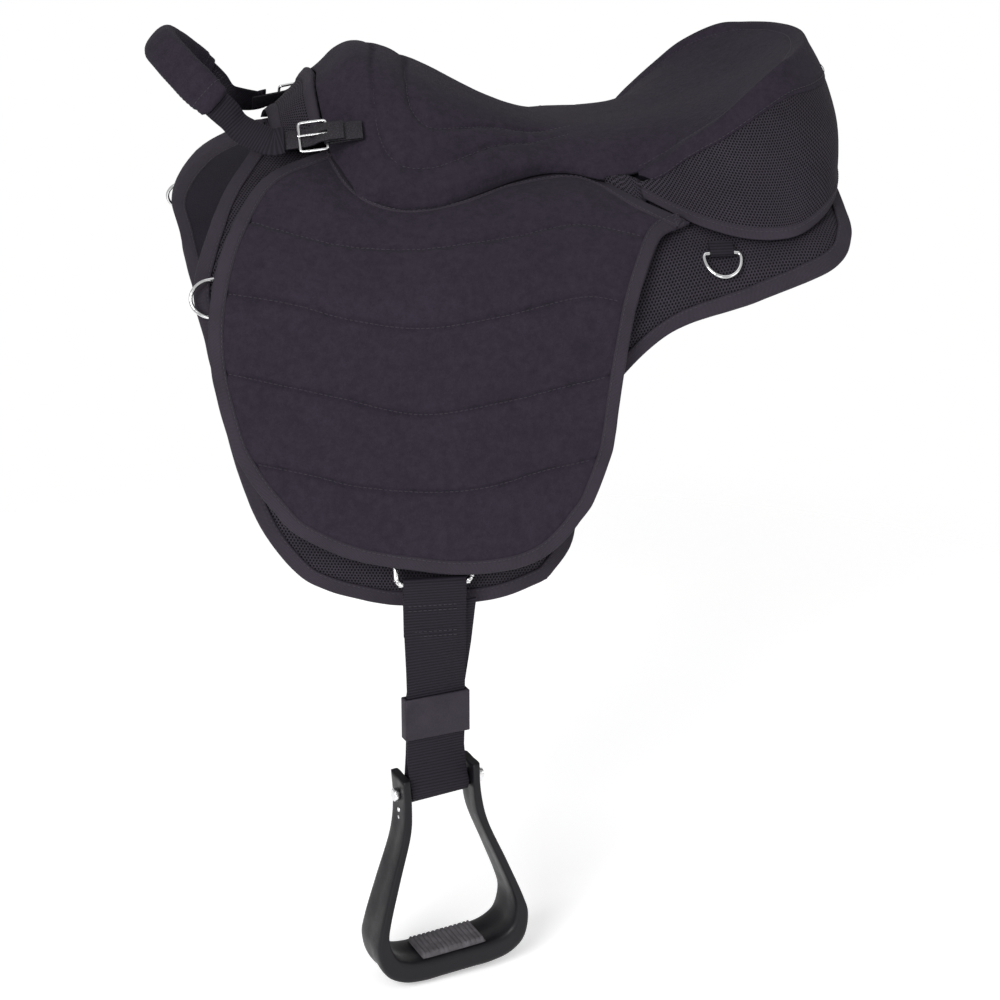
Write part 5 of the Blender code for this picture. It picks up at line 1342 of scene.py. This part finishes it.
def seat_spot(looks, t, q):
    """The cover's surface with its seams, its softness and its rolled side edges."""
    spot, normal = seat_top(t, q).copy(), seat_normal(t, q)
    fade = 1 - ease((t - SEAM_FADE_SHARES[0]) / SEAM_FADE_SHARES[1])
    dip = 0.0
    for index in range(len(SEAT_SEAM_SHARES)):
        away = float(np.sqrt(((seat_seam(index)[1] - np.array(spot)) ** 2).sum(1).min()))
        pull = looks.seat_seam_pull * math.exp(-away / SEAT_PULL_REACH)
        crease = looks.seam_depth * math.exp(-((away / SEAT_CREASE_REACH) ** 2))
        pucker = noise.noise(spot * SEAT_PUCKER_SCALE) * looks.pucker * math.exp(-away / SEAT_PUCKER_REACH)
        dip += fade * (pull + crease + pucker)
    soft = sum(noise.noise(spot * scale) * looks.softness * share for scale, share in SEAT_WAVES)
    start, end = ROLL_ENDS
    roll = ease((abs(q) - ROLL_START) / (1 - ROLL_START)) * (1 - ease((t - start) / (end - start)))
    return spot - normal * (dip - soft + roll * ROLL_DEPTH)


def build_seat(looks):
    """The suede cover with its seams, what lies under it, and the cantle and collar that meet it."""
    columns, lines = SEAT_GRID
    wide, middle = columns + 1, columns // 2
    corners = [(column, line) for line in range(lines + 1) for column in range(wide)]
    shares = {(column, line): (line / lines, 2 * column / columns - 1) for column, line in corners}
    spots = {corner: seat_spot(looks, *shares[corner]) for corner in corners}
    normals = {corner: seat_normal(*shares[corner]) for corner in corners}
    across, along = {}, [0.0]
    for line in range(lines + 1):
        across[middle, line] = 0.0
        for way, end in ((1, wide), (-1, -1)):
            for column in range(middle + way, end, way):
                leg = (spots[column, line] - spots[column - way, line]).length
                across[column, line] = across[column - way, line] + way * leg
        if line:
            along.append(along[-1] + (spots[middle, line] - spots[middle, line - 1]).length)

    def point(column, line, top):
        below = 0.0 if top else COVER_THICKNESS * LINING_SHARE
        return spots[column, line] - normals[column, line] * below

    def cloth(column, line):
        return across[column, line], along[line]

    nodes = ["seat_cover", "seat_foam", "pommel_core", "cantle_core"]
    padded_sheet("seat_suede", SEAT_GRID, point, cloth, "suede", "saddle", nodes, SEAT_FILL)
    dressed("seat_base", "lining", BROAD_ROUNDING)
    dressed("spine_strip", "webbing", BROAD_ROUNDING, (0, 1, 0), (1, 0, 0))
    starts = [line * wide + column for line in range(lines) for column in range(columns)]
    surface = BVHTree.FromPolygons(
        [tuple(spots[corner]) for corner in corners],
        [(start, start + 1, start + wide + 1, start + wide) for start in starts],
    )
    runs = []
    for index in range(len(SEAT_SEAM_SHARES)):
        points, ups = [], []
        for (t, q), spot in zip(*seat_seam(index)):
            up = seat_normal(t, q)
            hit = surface.ray_cast(Vector(spot) + up * SEARCH_START, -up, SEARCH_REACH)[0]
            if t < sum(SEAM_FADE_SHARES) and hit is not None:
                points.append(hit + up * looks.stitch_radius * 0.6)
                ups.append(up)
        runs.append((rounded(points, 1, False), ups))
    stitched("seat_stitches", runs, looks, "suede", "saddle")
    seams = build_cantle_band(looks, surface)
    seams.insert(0, build_cantle_wall(looks))
    stitched("cantle_stitches", seams, looks, "suede", "saddle")
    build_collar(looks)


# Cantle: a suede band rolled over the rim, a mesh wall under it and tape along the wall's foot

CANTLE_STEPS = 170
CANTLE_LINES = 26
WEDGE_COLUMNS = 18
WEDGE_SHARES = 0.655, 0.605
BAND_STEPS = 18
BAND_OVERLAP = 0.92
END_RUN = 0.05
BAND_CLOSE_RUN = 0.035
BAND_INSETS = ((0.0075, -0.0006), (0.0035, 0.0014))
BAND_DIP = 0.014
DROP_START, DROP_REACH = 0.05, 0.12
CREST_HEIGHTS, RIM_HEIGHTS = (0.0022, 0.0042), (0.0012, 0.0024)
CREST_SHARE, RIM_OUT = 0.55, 0.0004
BAND_WAVE_SCALE, BAND_SOFT_SHARE = 40, 0.5
BAND_DOWN = ((0.16, -0.0014), (0.5, -0.0015), (0.88, -0.0013), (1.0, -0.0002))
BAND_UNDER = ((1.0, 0.0012), (0.3, 0.0030))
BAND_HEART_DROP, BAND_END_SHARE = 0.002, 0.25
BAND_STITCH = 0.80, -0.0022
FOOT_TAPE_SECTION = ((1.0, 0.0), (0.93, 0.9), (0.5, 1.25), (0.15, 1.2), (0.0, 0.7))
FOOT_TAPE_SHARE, FOOT_TAPE_LIMIT = 0.9, 0.4
FOOT_STITCH = 0.80, 1.15
FLAP_EDGE_STEPS = 120
WALL_WAVES = 14, 3
WEDGE_TURN, TUCK_TURN = 2.5, 3
WEDGE_LIFT = 0.001
TUCK_REACH, TUCK_THICKNESS, TUCK_DEPTH = 0.003, 0.0015, 0.001


def upwards(height):
    return Vector((0, 0, height))


def build_cantle_band(looks, surface):
    """The band over the rim. Gives the runs of its stitches."""
    rings, inner_stitch, outer_stitch, outwards = [], [], [], []
    for step in range(CANTLE_STEPS + 1):
        share = step / CANTLE_STEPS
        rim, way = wall_ways(trimmed(share))[0]
        band = band_share(share)
        to_end = min(share, 1 - share)
        full = ease(to_end / END_RUN)
        ring = []
        for inset, lift in BAND_INSETS:
            start = rim + way * (COVER_INSET + inset * mix(0.5, 1.0, full))
            hit = surface.ray_cast(start + upwards(DROP_START), upwards(-1), DROP_REACH)[0] or start
            height = max(hit.z, rim.z - BAND_DIP) + lift * mix(0.6, 1.0, full)
            ring.append(Vector((start.x, start.y, height)))
        ring.append(rim + way * COVER_INSET * CREST_SHARE + upwards(mix(*CREST_HEIGHTS, full)))
        ring.append(rim - way * RIM_OUT + upwards(mix(*RIM_HEIGHTS, full)))
        ring += [wall_point(share, band * down, depth) for down, depth in BAND_DOWN]
        ring = [smooth(ring, part / BAND_STEPS) for part in range(BAND_STEPS + 1)]
        height = looks.softness * BAND_SOFT_SHARE
        ring = [spot + upwards(noise.noise(spot * BAND_WAVE_SCALE) * height) for spot in ring]
        heart = rim + way * COVER_INSET - upwards(BAND_HEART_DROP)
        ring += [wall_point(share, band * down, depth) for down, depth in BAND_UNDER] + [heart]
        open_share = mix(BAND_END_SHARE, 1.0, ease(to_end / BAND_CLOSE_RUN))
        rings.append([heart.lerp(spot, open_share) for spot in ring])
        inner_stitch.append(ring[1])
        outer_stitch.append(wall_point(share, band * BAND_STITCH[0], BAND_STITCH[1]))
        outwards.append(-way)
    run("cantle_suede", rings, "suede", "saddle", "cantle_band", "cantle_binding")
    return [(inner_stitch, [upwards(1)] * len(inner_stitch)), (outer_stitch, outwards)]


def build_cantle_wall(looks):
    """The mesh, with a wedge on each side tucked under the seat and the flap, and its tape.

    Gives the run of the tape's stitches.
    """
    flap_edge = [flap_place(step / FLAP_EDGE_STEPS, 0) for step in range(FLAP_EDGE_STEPS + 1)]
    columns, lines = CANTLE_STEPS + 2 * WEDGE_COLUMNS, CANTLE_LINES

    def point(column, line, top):
        share = clamp((column - WEDGE_COLUMNS) / CANTLE_STEPS)
        start = band_share(share) * BAND_OVERLAP
        depth = WALL_THICKNESS * (1 - top)
        beyond = max(WEDGE_COLUMNS - column, column - WEDGE_COLUMNS - CANTLE_STEPS) / WEDGE_COLUMNS
        if beyond <= 0:
            wave = noise.noise(Vector((share * WALL_WAVES[0], line / lines * WALL_WAVES[1], 0)))
            puff = math.sin(math.pi * line / lines) * looks.softness * wave * top
            return wall_point(share, mix(start, 1.0, line / lines), depth + puff)
        side = -1 if column < WEDGE_COLUMNS else 1
        high = seat_top(mix(*WEDGE_SHARES, beyond), float(side))
        high = high + Vector((0, side * WEDGE_LIFT * top, WEDGE_LIFT))
        high = mix(wall_point(share, start, depth), high, ease(beyond * WEDGE_TURN))
        _, reach = min(flap_edge, key=lambda edge: abs(edge[0] - high.x))
        level = FLAP_LEVEL + TUCK_THICKNESS * top - TUCK_DEPTH
        tucked = on_back(high.x, side * (reach + TUCK_REACH), level)
        return mix(high, mix(wall_point(share, 1.0, depth), tucked, ease(beyond * TUCK_TURN)), line / lines)

    lengths = [0.0]
    for column in range(columns):
        lengths.append(lengths[-1] + (point(column + 1, 2, 1) - point(column, 2, 1)).length)
    heights = [(point(column, 0, 1) - point(column, lines, 1)).length for column in range(columns + 1)]

    def cloth(column, line):
        return lengths[column], heights[column] * (line / lines - 1)

    mesh = "cantle_mesh", (columns, lines), point, cloth, "mesh_fabric"
    padded_sheet(*mesh, "saddle", ["cantle_cover"], PANEL_FILL)
    rings, points, outwards = [], [], []
    thick = looks.tape_thickness
    for step in range(CANTLE_STEPS + 1):
        share = step / CANTLE_STEPS
        (rim, way), (foot, _) = wall_ways(trimmed(share))
        wide = min(looks.tape_width * FOOT_TAPE_SHARE / (rim - foot).length, FOOT_TAPE_LIMIT)
        ring = [wall_point(share, 1 - wide * up, -thick * lift) for up, lift in FOOT_TAPE_SECTION]
        rings.append(ring + [wall_point(share, 1.0, thick), wall_point(share, 1 - wide, thick)])
        points.append(wall_point(share, 1 - wide * FOOT_STITCH[0], -thick * FOOT_STITCH[1]))
        outwards.append(-way)
    run("cantle_foot_tape", rings, "tape", "saddle")
    return points, outwards


# Collar

COLLAR_GRID = 60, 24
COLLAR_BULGE = 0.0015
COLLAR_TAPES = (("upper", 0.0, 0.20), ("lower", 1.0, 0.80))
COLLAR_TAPE_SECTION = ((1.0, 0.1), (0.9, 1.0), (0.5, 1.4), (0.0, 1.1))
COLLAR_TAPE_LIFT, COLLAR_TAPE_SUNK = 0.001, 0.8
COLLAR_CLOTH_SHARE = 2.2


def collar_spot(u, v, depth):
    across = mix(COLLAR_TRIM_SHARE, 1 - COLLAR_TRIM_SHARE, u)
    high = smooth(FRONT_LINE, across) - Vector((COLLAR_SETBACK, 0, 0))
    low = on_back(COLLAR_FRONT, (2 * u - 1) * COLLAR_HALF_WIDTH, WALL_LEVEL)
    spot = mix(high, low, v)
    spot.z -= math.sin(math.pi * v) * COLLAR_SAG
    lean = Vector((-abs(high.z - low.z), 0, abs(high.x - low.x))).normalized()
    way = mix(-lean, Vector((1, 0, 0)), v).normalized()
    return spot + way * depth


def build_collar(looks):
    """Mesh in front of the pommel, between two bound edges."""
    columns, lines = COLLAR_GRID

    def point(column, line, top):
        bulge = math.sin(math.pi * line / lines) * COLLAR_BULGE * top
        return collar_spot(column / columns, line / lines, WALL_THICKNESS * (1 - top) - bulge)

    height = (point(columns // 2, 0, 1) - point(columns // 2, lines, 1)).length

    def cloth(column, line):
        return column / columns * COLLAR_HALF_WIDTH * COLLAR_CLOTH_SHARE, line / lines * height

    mesh = "collar_mesh", COLLAR_GRID, point, cloth, "mesh_fabric"
    padded_sheet(*mesh, "saddle", ["pommel_collar"], COLLAR_FILL)
    for word, start, end in COLLAR_TAPES:
        section = [
            (mix(start, end, share), -looks.tape_thickness * lift - COLLAR_TAPE_LIFT)
            for share, lift in COLLAR_TAPE_SECTION
        ]
        section += [(v, WALL_THICKNESS * COLLAR_TAPE_SUNK) for v in (start, end)]
        shares = [column / columns for column in range(columns + 1)]
        rings = [[collar_spot(u, v, depth) for v, depth in section] for u in shares]
        run("collar_tape_" + word, rings, "tape", "saddle")


# Handle

BAND_RINGS = 120
BAND_SECTION = ((-1.0, 0.3), (-0.96, 1.0), (0.0, 1.08), (0.96, 1.0), (1.0, 0.3))
GRIP_RINGS, GRIP_SIDES = 96, 32
GRIP_SQUARENESS = 2.5
GRIP_END_RING = 7
GRIP_WAVE, GRIP_WAVE_PACE = 0.03, 0.11

# At the grip's ends: how narrow, where it starts to widen and over which share.
GRIP_MOUTH, GRIP_NECK = (0.70, 0.0, 0.022), (0.93, 0.05, 0.03)
GRIP_SEAM_START, GRIP_SEAM_OUT, GRIP_SEAM_SHIFT = 0.03, 1.01, 0.001
BAR_TACK_SHARES = (0.170, 0.180, 0.190, 0.200)
TACK_STEPS, TACK_WIDTH_SHARE, TACK_LEVEL_SHARE = 8, 0.86, 0.55


def squarish(turn, count, power):
    """A point this many of count steps round a rounded square of half width 1."""
    angle = math.tau * turn / count
    a, b = math.cos(angle), math.sin(angle)
    swell = (abs(a) ** power + abs(b) ** power) ** (-1 / power)
    return a * swell, b * swell


def build_handle(looks):
    """Webbing with a padded sleeve round its middle."""
    half, thick = HANDLE_WIDTH / 2, WEBBING_THICKNESS / 2
    section = BAND_SECTION + tuple((a, -b) for a, b in BAND_SECTION[::-1])
    rings = []
    for step in range(BAND_RINGS + 1):
        here, across, out = handle_ways(step / BAND_RINGS)
        rings.append([here + across * a * half + out * b * thick for a, b in section])
    run("handle_band", rings, "webbing", "handle", "handle_webbing")
    rings, seam, runs = [], ([], []), []
    for step in range(GRIP_RINGS + 1):
        here, across, out = handle_ways(mix(GRIP_START_SHARE, 1 - GRIP_START_SHARE, step / GRIP_RINGS))
        end = min(step, GRIP_RINGS - step) / GRIP_RINGS
        fill = 1 + GRIP_WAVE * noise.noise(Vector((step * GRIP_WAVE_PACE, 0, 4)))
        for least, start, reach in (GRIP_MOUTH, GRIP_NECK):
            fill *= mix(least, 1.0, ease((end - start) / reach))
        points = [squarish(turn, GRIP_SIDES, GRIP_SQUARENESS) for turn in range(GRIP_SIDES)]
        ring = [here + (out * a * GRIP_DEPTH / 2 + across * b * GRIP_HEIGHT / 2) * fill for a, b in points]
        rings.append(ring)
        if end > GRIP_SEAM_START:
            seam[0].append(here - across * GRIP_HEIGHT / 2 * fill * GRIP_SEAM_OUT + out * GRIP_SEAM_SHIFT)
            seam[1].append(-across)
        if step in (GRIP_END_RING, GRIP_RINGS - GRIP_END_RING):
            loop = ring + ring[:1]
            runs.append((loop, [(corner - here).normalized() for corner in loop]))
    run("handle_sleeve", rings, "suede", "handle", "handle_grip")
    for share in BAR_TACK_SHARES:
        for here, across, out in map(handle_ways, (share, 1 - share)):
            start = here + out * WEBBING_THICKNESS * TACK_LEVEL_SHARE
            places = [(step / TACK_STEPS - 0.5) * TACK_WIDTH_SHARE for step in range(TACK_STEPS + 1)]
            runs.append(([start + across * HANDLE_WIDTH * place for place in places], [out] * len(places)))
    stitched("handle_stitches", [seam, *runs], looks, "webbing", "handle")


# Stirrup

FRAME_RINGS, FRAME_SIDES = 150, 40
FRAME_SQUARENESS = 7.0
FRAME_END = 0.9
LOWER_SLOPE, LOWER_START = 1.2, 0.2
GROOVE_DEPTH, GROOVE_REACH, GROOVE_FACE = 0.10, 0.30, 0.9
TREAD_GRID = 90, 24
TREAD_RIBS, TREAD_RIB_HEIGHT = 14, 0.0009
TREAD_RIB_FROM, TREAD_RIB_REACH = 0.45, 0.44
TREAD_EDGE_STEPS = 3, 2
SCREW_HEIGHTS = (-0.014, -0.021)
SCREW_SIDES = 16
SCREW_SECTION = ((-0.001, 0.0022), (0.0004, 0.0022), (0.0009, 0.0016), (0.0011, 0.0004))


def ring_matrix(side):
    """At the upper bar of the ring under a flap. The near one leans with the strap's pull."""
    lean = Matrix.Rotation(math.radians(-RING_LEAN if side == NEAR else 0.0), 4, "X")
    return down_frame(STIRRUP_X, side * RING_TOP, RING_LEVEL) @ lean


def make_ring_bar():
    """The lower bar of the near ring, which the strap goes round."""
    return ring_matrix(NEAR) @ Vector((0, -RING_HEIGHT, 0))


def build_stirrup(looks):
    """The moulded frame, its ribbed tread, its bolt and two small screws."""
    matrix = stirrup_matrix(make_ring_bar())
    rings = []
    steps = [(step, 1.0) for step in range(FRAME_RINGS + 1)]
    for step, shrink in [(0, FRAME_END), *steps, (FRAME_RINGS, FRAME_END)]:
        inner = arch_spot(STIRRUP_INNER_SHARES, step / FRAME_RINGS)
        outer = arch_spot(STIRRUP_OUTER_SHARES, step / FRAME_RINGS)
        middle, half = mix(inner, outer, 0.5), (outer - inner) / 2
        lower = ease((STIRRUP_RISE - middle.z) / STIRRUP_HEIGHT * LOWER_SLOPE - LOWER_START)
        depth = mix(STIRRUP_DEPTH_TOP, STIRRUP_DEPTH, lower) / 2
        ring = []
        for a, b in (squarish(turn + 0.5, FRAME_SIDES, FRAME_SQUARENESS) for turn in range(FRAME_SIDES)):
            groove = 1 - GROOVE_DEPTH * math.exp(-((b / GROOVE_REACH) ** 2)) * (abs(a) > GROOVE_FACE)
            ring.append((half * a * groove, Vector((0, b * depth, 0))))
        rings.append([matrix @ (middle + (out + side) * shrink) for out, side in ring])
    run("stirrup_moulding", rings, "plastic", "stirrup", "stirrup_frame")
    columns, lines = TREAD_GRID

    def point(column, line, top):
        turn = mix(0.5 - TREAD_PAD_TURN, 0.5 + TREAD_PAD_TURN, column / columns)
        spot = arch_spot(STIRRUP_INNER_SHARES, turn)
        away = line / lines - 0.5
        rib = abs(math.sin(math.pi * TREAD_RIBS * column / columns)) > TREAD_RIB_FROM
        height = TREAD_PAD_THICKNESS + (rib and abs(away) < TREAD_RIB_REACH) * TREAD_RIB_HEIGHT
        for place, count, steps in zip((column, line), TREAD_GRID, TREAD_EDGE_STEPS):
            height *= ease(min(place, count - place) / steps)
        spot.z += FIT + height * top
        spot.y = away * STIRRUP_DEPTH * TREAD_PAD_SHARE
        return matrix @ spot

    def cloth(column, line):
        return column / columns, line / lines

    pad = cloth_grid("stirrup_tread", columns, lines, point, cloth, ["rubber"])
    goes(pad, "rubber", "stirrup", "tread_pad")
    for node, slot in (("stirrup_bolt", "chrome"), ("stirrup_nut", "chrome"), ("bolt_sleeve", "plastic")):
        dressed(node, slot, ROUNDING)
    outer = STIRRUP_HALF_WIDTH * STIRRUP_OUTER_SHARES[0][0]
    for index, height in enumerate(SCREW_HEIGHTS):
        line = [matrix @ Vector((-outer - reach, 0.0, height)) for reach, _ in SCREW_SECTION]
        rings = tube(line, [radius for _, radius in SCREW_SECTION], sides=SCREW_SIDES)
        run("stirrup_screw_" + str(index + 1), rings, "chrome", "stirrup")


# Webbing, rings and buckles

STRAP_WIDTH = 0.050
STRAP_SEAM_HEIGHTS = (-0.018, -0.022, -0.040, -0.044)
STRAP_SEAM_STEPS, STRAP_SEAM_SHARE, STRAP_SEAM_FITS = 10, 0.88, 2.4
CLOTH_LEAN = 0.3


def build_webbing(looks):
    """Hangers, girth straps and tabs, and the stirrup strap with its keeper."""
    flat = (1, 0, 0)
    for side, word in SIDES:
        down = (0, side * CLOTH_LEAN, -1)
        for node in ("stirrup_hanger_", "girth_billet_front_", "girth_billet_rear_"):
            dressed(node + word, "webbing", ROUNDING, flat, down)
        dressed("dee_tab_front_" + word, "webbing", FINE_ROUNDING, down, flat)
        dressed("dee_tab_rear_" + word, "webbing", FINE_ROUNDING, flat, down)
    turn = math.radians(STRAP_TWIST)
    dressed("stirrup_strap", "webbing", ROUNDING, (math.cos(turn), math.sin(turn), 0), (0, 0, 1))
    dressed("strap_keeper", "plastic", BROAD_ROUNDING, finish="keeper")
    runs = []
    for height in STRAP_SEAM_HEIGHTS:
        start = make_ring_bar() + Vector((0, -WEBBING_THICKNESS - STRAP_SEAM_FITS * FIT, height))
        places = [(step / STRAP_SEAM_STEPS - 0.5) * STRAP_SEAM_SHARE for step in range(STRAP_SEAM_STEPS + 1)]
        line = [start + Vector((STRAP_WIDTH * place, 0, 0)) for place in places]
        runs.append((line, [Vector((0, -1, 0))] * len(line)))
    stitched("strap_stitches", runs, looks, "webbing", "strap")


def build_hardware(looks):
    """Rings, dees and buckles bent from round bar, and the straps that hold them."""
    loop = rounded_outline(RING_WIDTH, -RING_HEIGHT, 0.0, RING_CORNER, 4)
    dee = dee_line(SMALL_RING_WIDTH, SMALL_RING_HEIGHT, SMALL_RING_CORNER)
    level = PANEL_THICKNESS + PANEL_TAPE_FIT + BINDING_THICKNESS + SMALL_RING_WIRE / 2 + 2 * FIT
    for side, word in SIDES:
        wire("stirrup_ring_" + word, loop, RING_WIRE / 2, True, ring_matrix(side))
        here = on_back(FRONT_RING_X, side * FRONT_RING_S, level)
        along = (on_back(FRONT_RING_X, side * (FRONT_RING_S + RING_STEP), level) - here).normalized()
        front = axes_at(here, along * -side, Vector((1, 0, 0)))
        rear = down_frame(REAR_RING_X, side * REAR_RING_TOP, WEBBING_LEVEL + TAB_RADIUS + TAB_THICKNESS / 2)
        wire("dee_front_" + word, dee, SMALL_RING_WIRE / 2, True, front)
        wire("dee_rear_" + word, dee, SMALL_RING_WIRE / 2, True, rear)
        make_buckle("front_" + word, handle_frame(side))
        dressed("buckle_chape_" + word, "strap", FINE_ROUNDING)
        dressed("handle_billet_" + word, "strap", FINE_ROUNDING)
    rear = axes_at(Vector((REAR_BUCKLE_X, 0, REAR_BUCKLE_Z)), Vector((0, 1, 0)), Vector((0, 0, -1)))
    make_buckle("rear", rear @ Matrix.Rotation(math.pi, 4, "Y"))
    dressed("rear_strap", "strap", FINE_ROUNDING)


# Stage

WHITE = (1.0, 1.0, 1.0, 1.0)
FLOOR_REACH, FLOOR_DROP = 6.0, 0.004
FLOOR_FADE = 0.8, 1.25
FLOOR_LIGHT = 0.36
LAMP_PLACES = (
    ("key", (-1.5, -2.1, 1.0), 1.4), ("fill", (1.9, -1.7, 0.4), 1.8),
    ("top", (0.1, 0.2, 2.2), 1.8), ("low", (-0.4, -1.9, -0.35), 0.8),
)
LAMP_TARGET = (-0.03, 0.0, -0.2)
CAMERA_PLACE, CAMERA_TARGET = (-0.3990, -2.0359, 0.4524), (-0.04, 0.0, -0.300)
CAMERA_SENSOR, CAMERA_LENS = 36.0, 89.28


def aimed(name, data, place, target):
    """A lamp or camera at one place, turned to another."""
    obj = shown(name, data)
    obj.location = place
    obj.rotation_euler = (Vector(target) - Vector(place)).to_track_quat("-Z", "Y").to_euler()
    return obj


def build_stage(looks):
    """A pale floor under the stirrup, soft lamps, a white surround and the photograph's camera."""
    scene = bpy.context.scene
    reach, level = FLOOR_REACH, CAD_BOX[0][2] - FLOOR_DROP
    corners = [(x, y, level) for x, y in ((-reach, -reach), (reach, -reach), (reach, reach), (-reach, reach))]
    mesh = bpy.data.meshes.new("floor")
    mesh.from_pydata(corners, [], [(0, 1, 2, 3)])
    shown("floor", mesh)
    finish = Finish("floor")
    finish.feed(
        Base_Color=(0.93, 0.93, 0.93, 1.0),
        Emission_Color=WHITE,
        Emission_Strength=FLOOR_LIGHT,
        Alpha=1 - finish.place().length().ease(*FLOOR_FADE),
        Roughness=0.9,
        Specular_IOR_Level=0.1,
    )
    mesh.materials.append(finish.made)
    world = bpy.data.worlds.new("surround")
    scene.world = world
    world.use_nodes = True
    tree = world.node_tree
    plain = tree.nodes["Background"]
    plain.inputs["Color"].default_value = WHITE
    plain.inputs["Strength"].default_value = looks.surround
    back = Link(tree, plain.outputs[0])
    bright = back.node("ShaderNodeBackground", {"Color": WHITE, "Strength": 1.0})
    rays = back.node("ShaderNodeLightPath", {}, "Is Camera Ray")
    both = back.node("ShaderNodeMixShader", {0: rays, 1: back, 2: bright})
    tree.links.new(both.socket, tree.nodes["World Output"].inputs["Surface"])
    for name, place, size in LAMP_PLACES:
        lamp = bpy.data.lights.new(name, "AREA")
        lamp.shape = "DISK"
        lamp.size = size
        lamp.energy = getattr(looks, name)
        aimed(name, lamp, place, LAMP_TARGET)
    camera = bpy.data.cameras.new("camera")
    camera.sensor_width = CAMERA_SENSOR
    camera.lens = CAMERA_LENS
    scene.camera = aimed("camera", camera, CAMERA_PLACE, CAMERA_TARGET)
    scene.view_settings.view_transform = "Standard"


# Add-on


def hue(name, about, *default):
    return FloatVectorProperty(name=name, description=about, subtype="COLOR", default=default)


def metres(name, about, default):
    return FloatProperty(name=name, description=about, unit="LENGTH", default=default)


def watts(name, about, default):
    return FloatProperty(name=name, description=about, unit="POWER", default=default)


def number(name, about, default):
    return FloatProperty(name=name, description=about, default=default)


class SaddleLooks(bpy.types.PropertyGroup):
    """Sizes of the fabrics' detail, their colours and the lamps."""

    suede: hue("Suede", "Colour of the suede", 0.0225, 0.0176, 0.0272)
    suede_sheen: number("Suede sheen", "Light caught by the suede's nap", 0.02)
    mesh: hue("Mesh", "Colour of the mesh's strands", 0.0250, 0.0205, 0.0290)
    tape: hue("Tape", "Colour of the bindings", 0.0300, 0.0235, 0.0350)
    webbing: hue("Webbing", "Colour of the webbing", 0.0105, 0.0080, 0.0135)
    strap: hue("Strap", "Colour of the coated straps", 0.0120, 0.0096, 0.0145)
    lining: hue("Lining", "Colour of the lining", 0.0105, 0.0085, 0.0140)
    thread: hue("Thread", "Colour of the thread", 0.0400, 0.0340, 0.0450)
    chrome: hue("Chrome", "Colour of the plated metal", 0.78, 0.78, 0.79)
    plastic: hue("Plastic", "Colour of the moulded plastic", 0.0050, 0.0041, 0.0064)
    rubber: hue("Rubber", "Colour of the tread", 0.060, 0.055, 0.062)
    nap_depth: metres("Nap depth", "Height of the suede's nap", 0.0006)
    mesh_pitch: metres("Mesh pitch", "Distance between the mesh's holes", 0.0026)
    mesh_hole: number("Hole share", "Hole radius as a share of the pitch", 0.30)
    tape_rib: metres("Tape rib", "Pitch of the tape's ribs", 0.0011)
    tape_width: metres("Tape width", "Width of the binding on each face", 0.0105)
    tape_thickness: metres("Tape thickness", "Thickness of the binding", 0.0011)
    weft_pitch: metres("Weft pitch", "Pitch of the webbing's ribs", 0.0024)
    pucker: metres("Pucker", "Height of the puckers at seams", 0.0006)
    softness: metres("Softness", "Height of the fabric's soft waves", 0.0008)
    seam_depth: metres("Seam depth", "Depth of the crease under the stitches", 0.0020)
    seat_seam_pull: metres("Seat seam pull", "How far a seam draws the seat in", 0.0040)
    stitch_pitch: metres("Stitch pitch", "Distance between stitches", 0.0040)
    stitch_length: metres("Stitch length", "Length of one stitch", 0.0029)
    stitch_radius: metres("Thread radius", "Radius of the thread", 0.00032)
    surround: number("Surround", "Strength of the white surround", 0.56)
    key: watts("Key", "Power of the key lamp", 52.0)
    fill: watts("Fill", "Power of the fill lamp", 11.0)
    top: watts("Top", "Power of the lamp above", 4.0)
    low: watts("Low", "Power of the low lamp", 4.0)


def operator(word, build, about):
    """An operator that builds one group of pieces with the scene's settings."""

    def execute(self, context):
        build(context.scene.saddle_looks)
        return {"FINISHED"}

    settings = {
        "__doc__": about, "bl_idname": "saddle." + word, "bl_label": "Build " + word.title(),
        "bl_options": {"REGISTER", "UNDO"}, "execute": execute,
    }
    return type("SADDLE_OT_" + word, (bpy.types.Operator,), settings)


OPERATORS = (
    operator("panels", build_panels, "Bound mesh panels with their lining"),
    operator("webbing", build_webbing, "Hangers, girth straps, tabs and the stirrup strap"),
    operator("flaps", build_flaps, "Quilted suede flaps with their tape and stitches"),
    operator("seat", build_seat, "Seat cover, cantle and collar"),
    operator("handle", build_handle, "Grab handle with its padded sleeve"),
    operator("hardware", build_hardware, "Rings, dees, buckles and their straps"),
    operator("stirrup", build_stirrup, "Stirrup frame, tread, bolt and screws"),
    operator("stage", build_stage, "Floor, lamps, surround and camera"),
)


class SADDLE_PT_panel(bpy.types.Panel):
    """Sidebar panel with the settings and a button for each group"""

    bl_label = "Treeless Saddle"
    bl_idname = "SADDLE_PT_panel"
    bl_space_type = "VIEW_3D"
    bl_region_type = "UI"
    bl_category = "Saddle"

    def draw(self, context):
        for name in SaddleLooks.__annotations__:
            self.layout.prop(context.scene.saddle_looks, name)
        for each in OPERATORS:
            self.layout.operator(each.bl_idname)


CLASSES = (SaddleLooks, *OPERATORS, SADDLE_PT_panel)


def register():
    for each in CLASSES:
        bpy.utils.register_class(each)
    bpy.types.Scene.saddle_looks = PointerProperty(type=SaddleLooks)


def unregister():
    del bpy.types.Scene.saddle_looks
    for each in reversed(CLASSES):
        bpy.utils.unregister_class(each)


def main():
    register()
    for each in OPERATORS:
        getattr(bpy.ops.saddle, each.bl_idname.split(".")[1])()


if __name__ == "__main__":
    main()
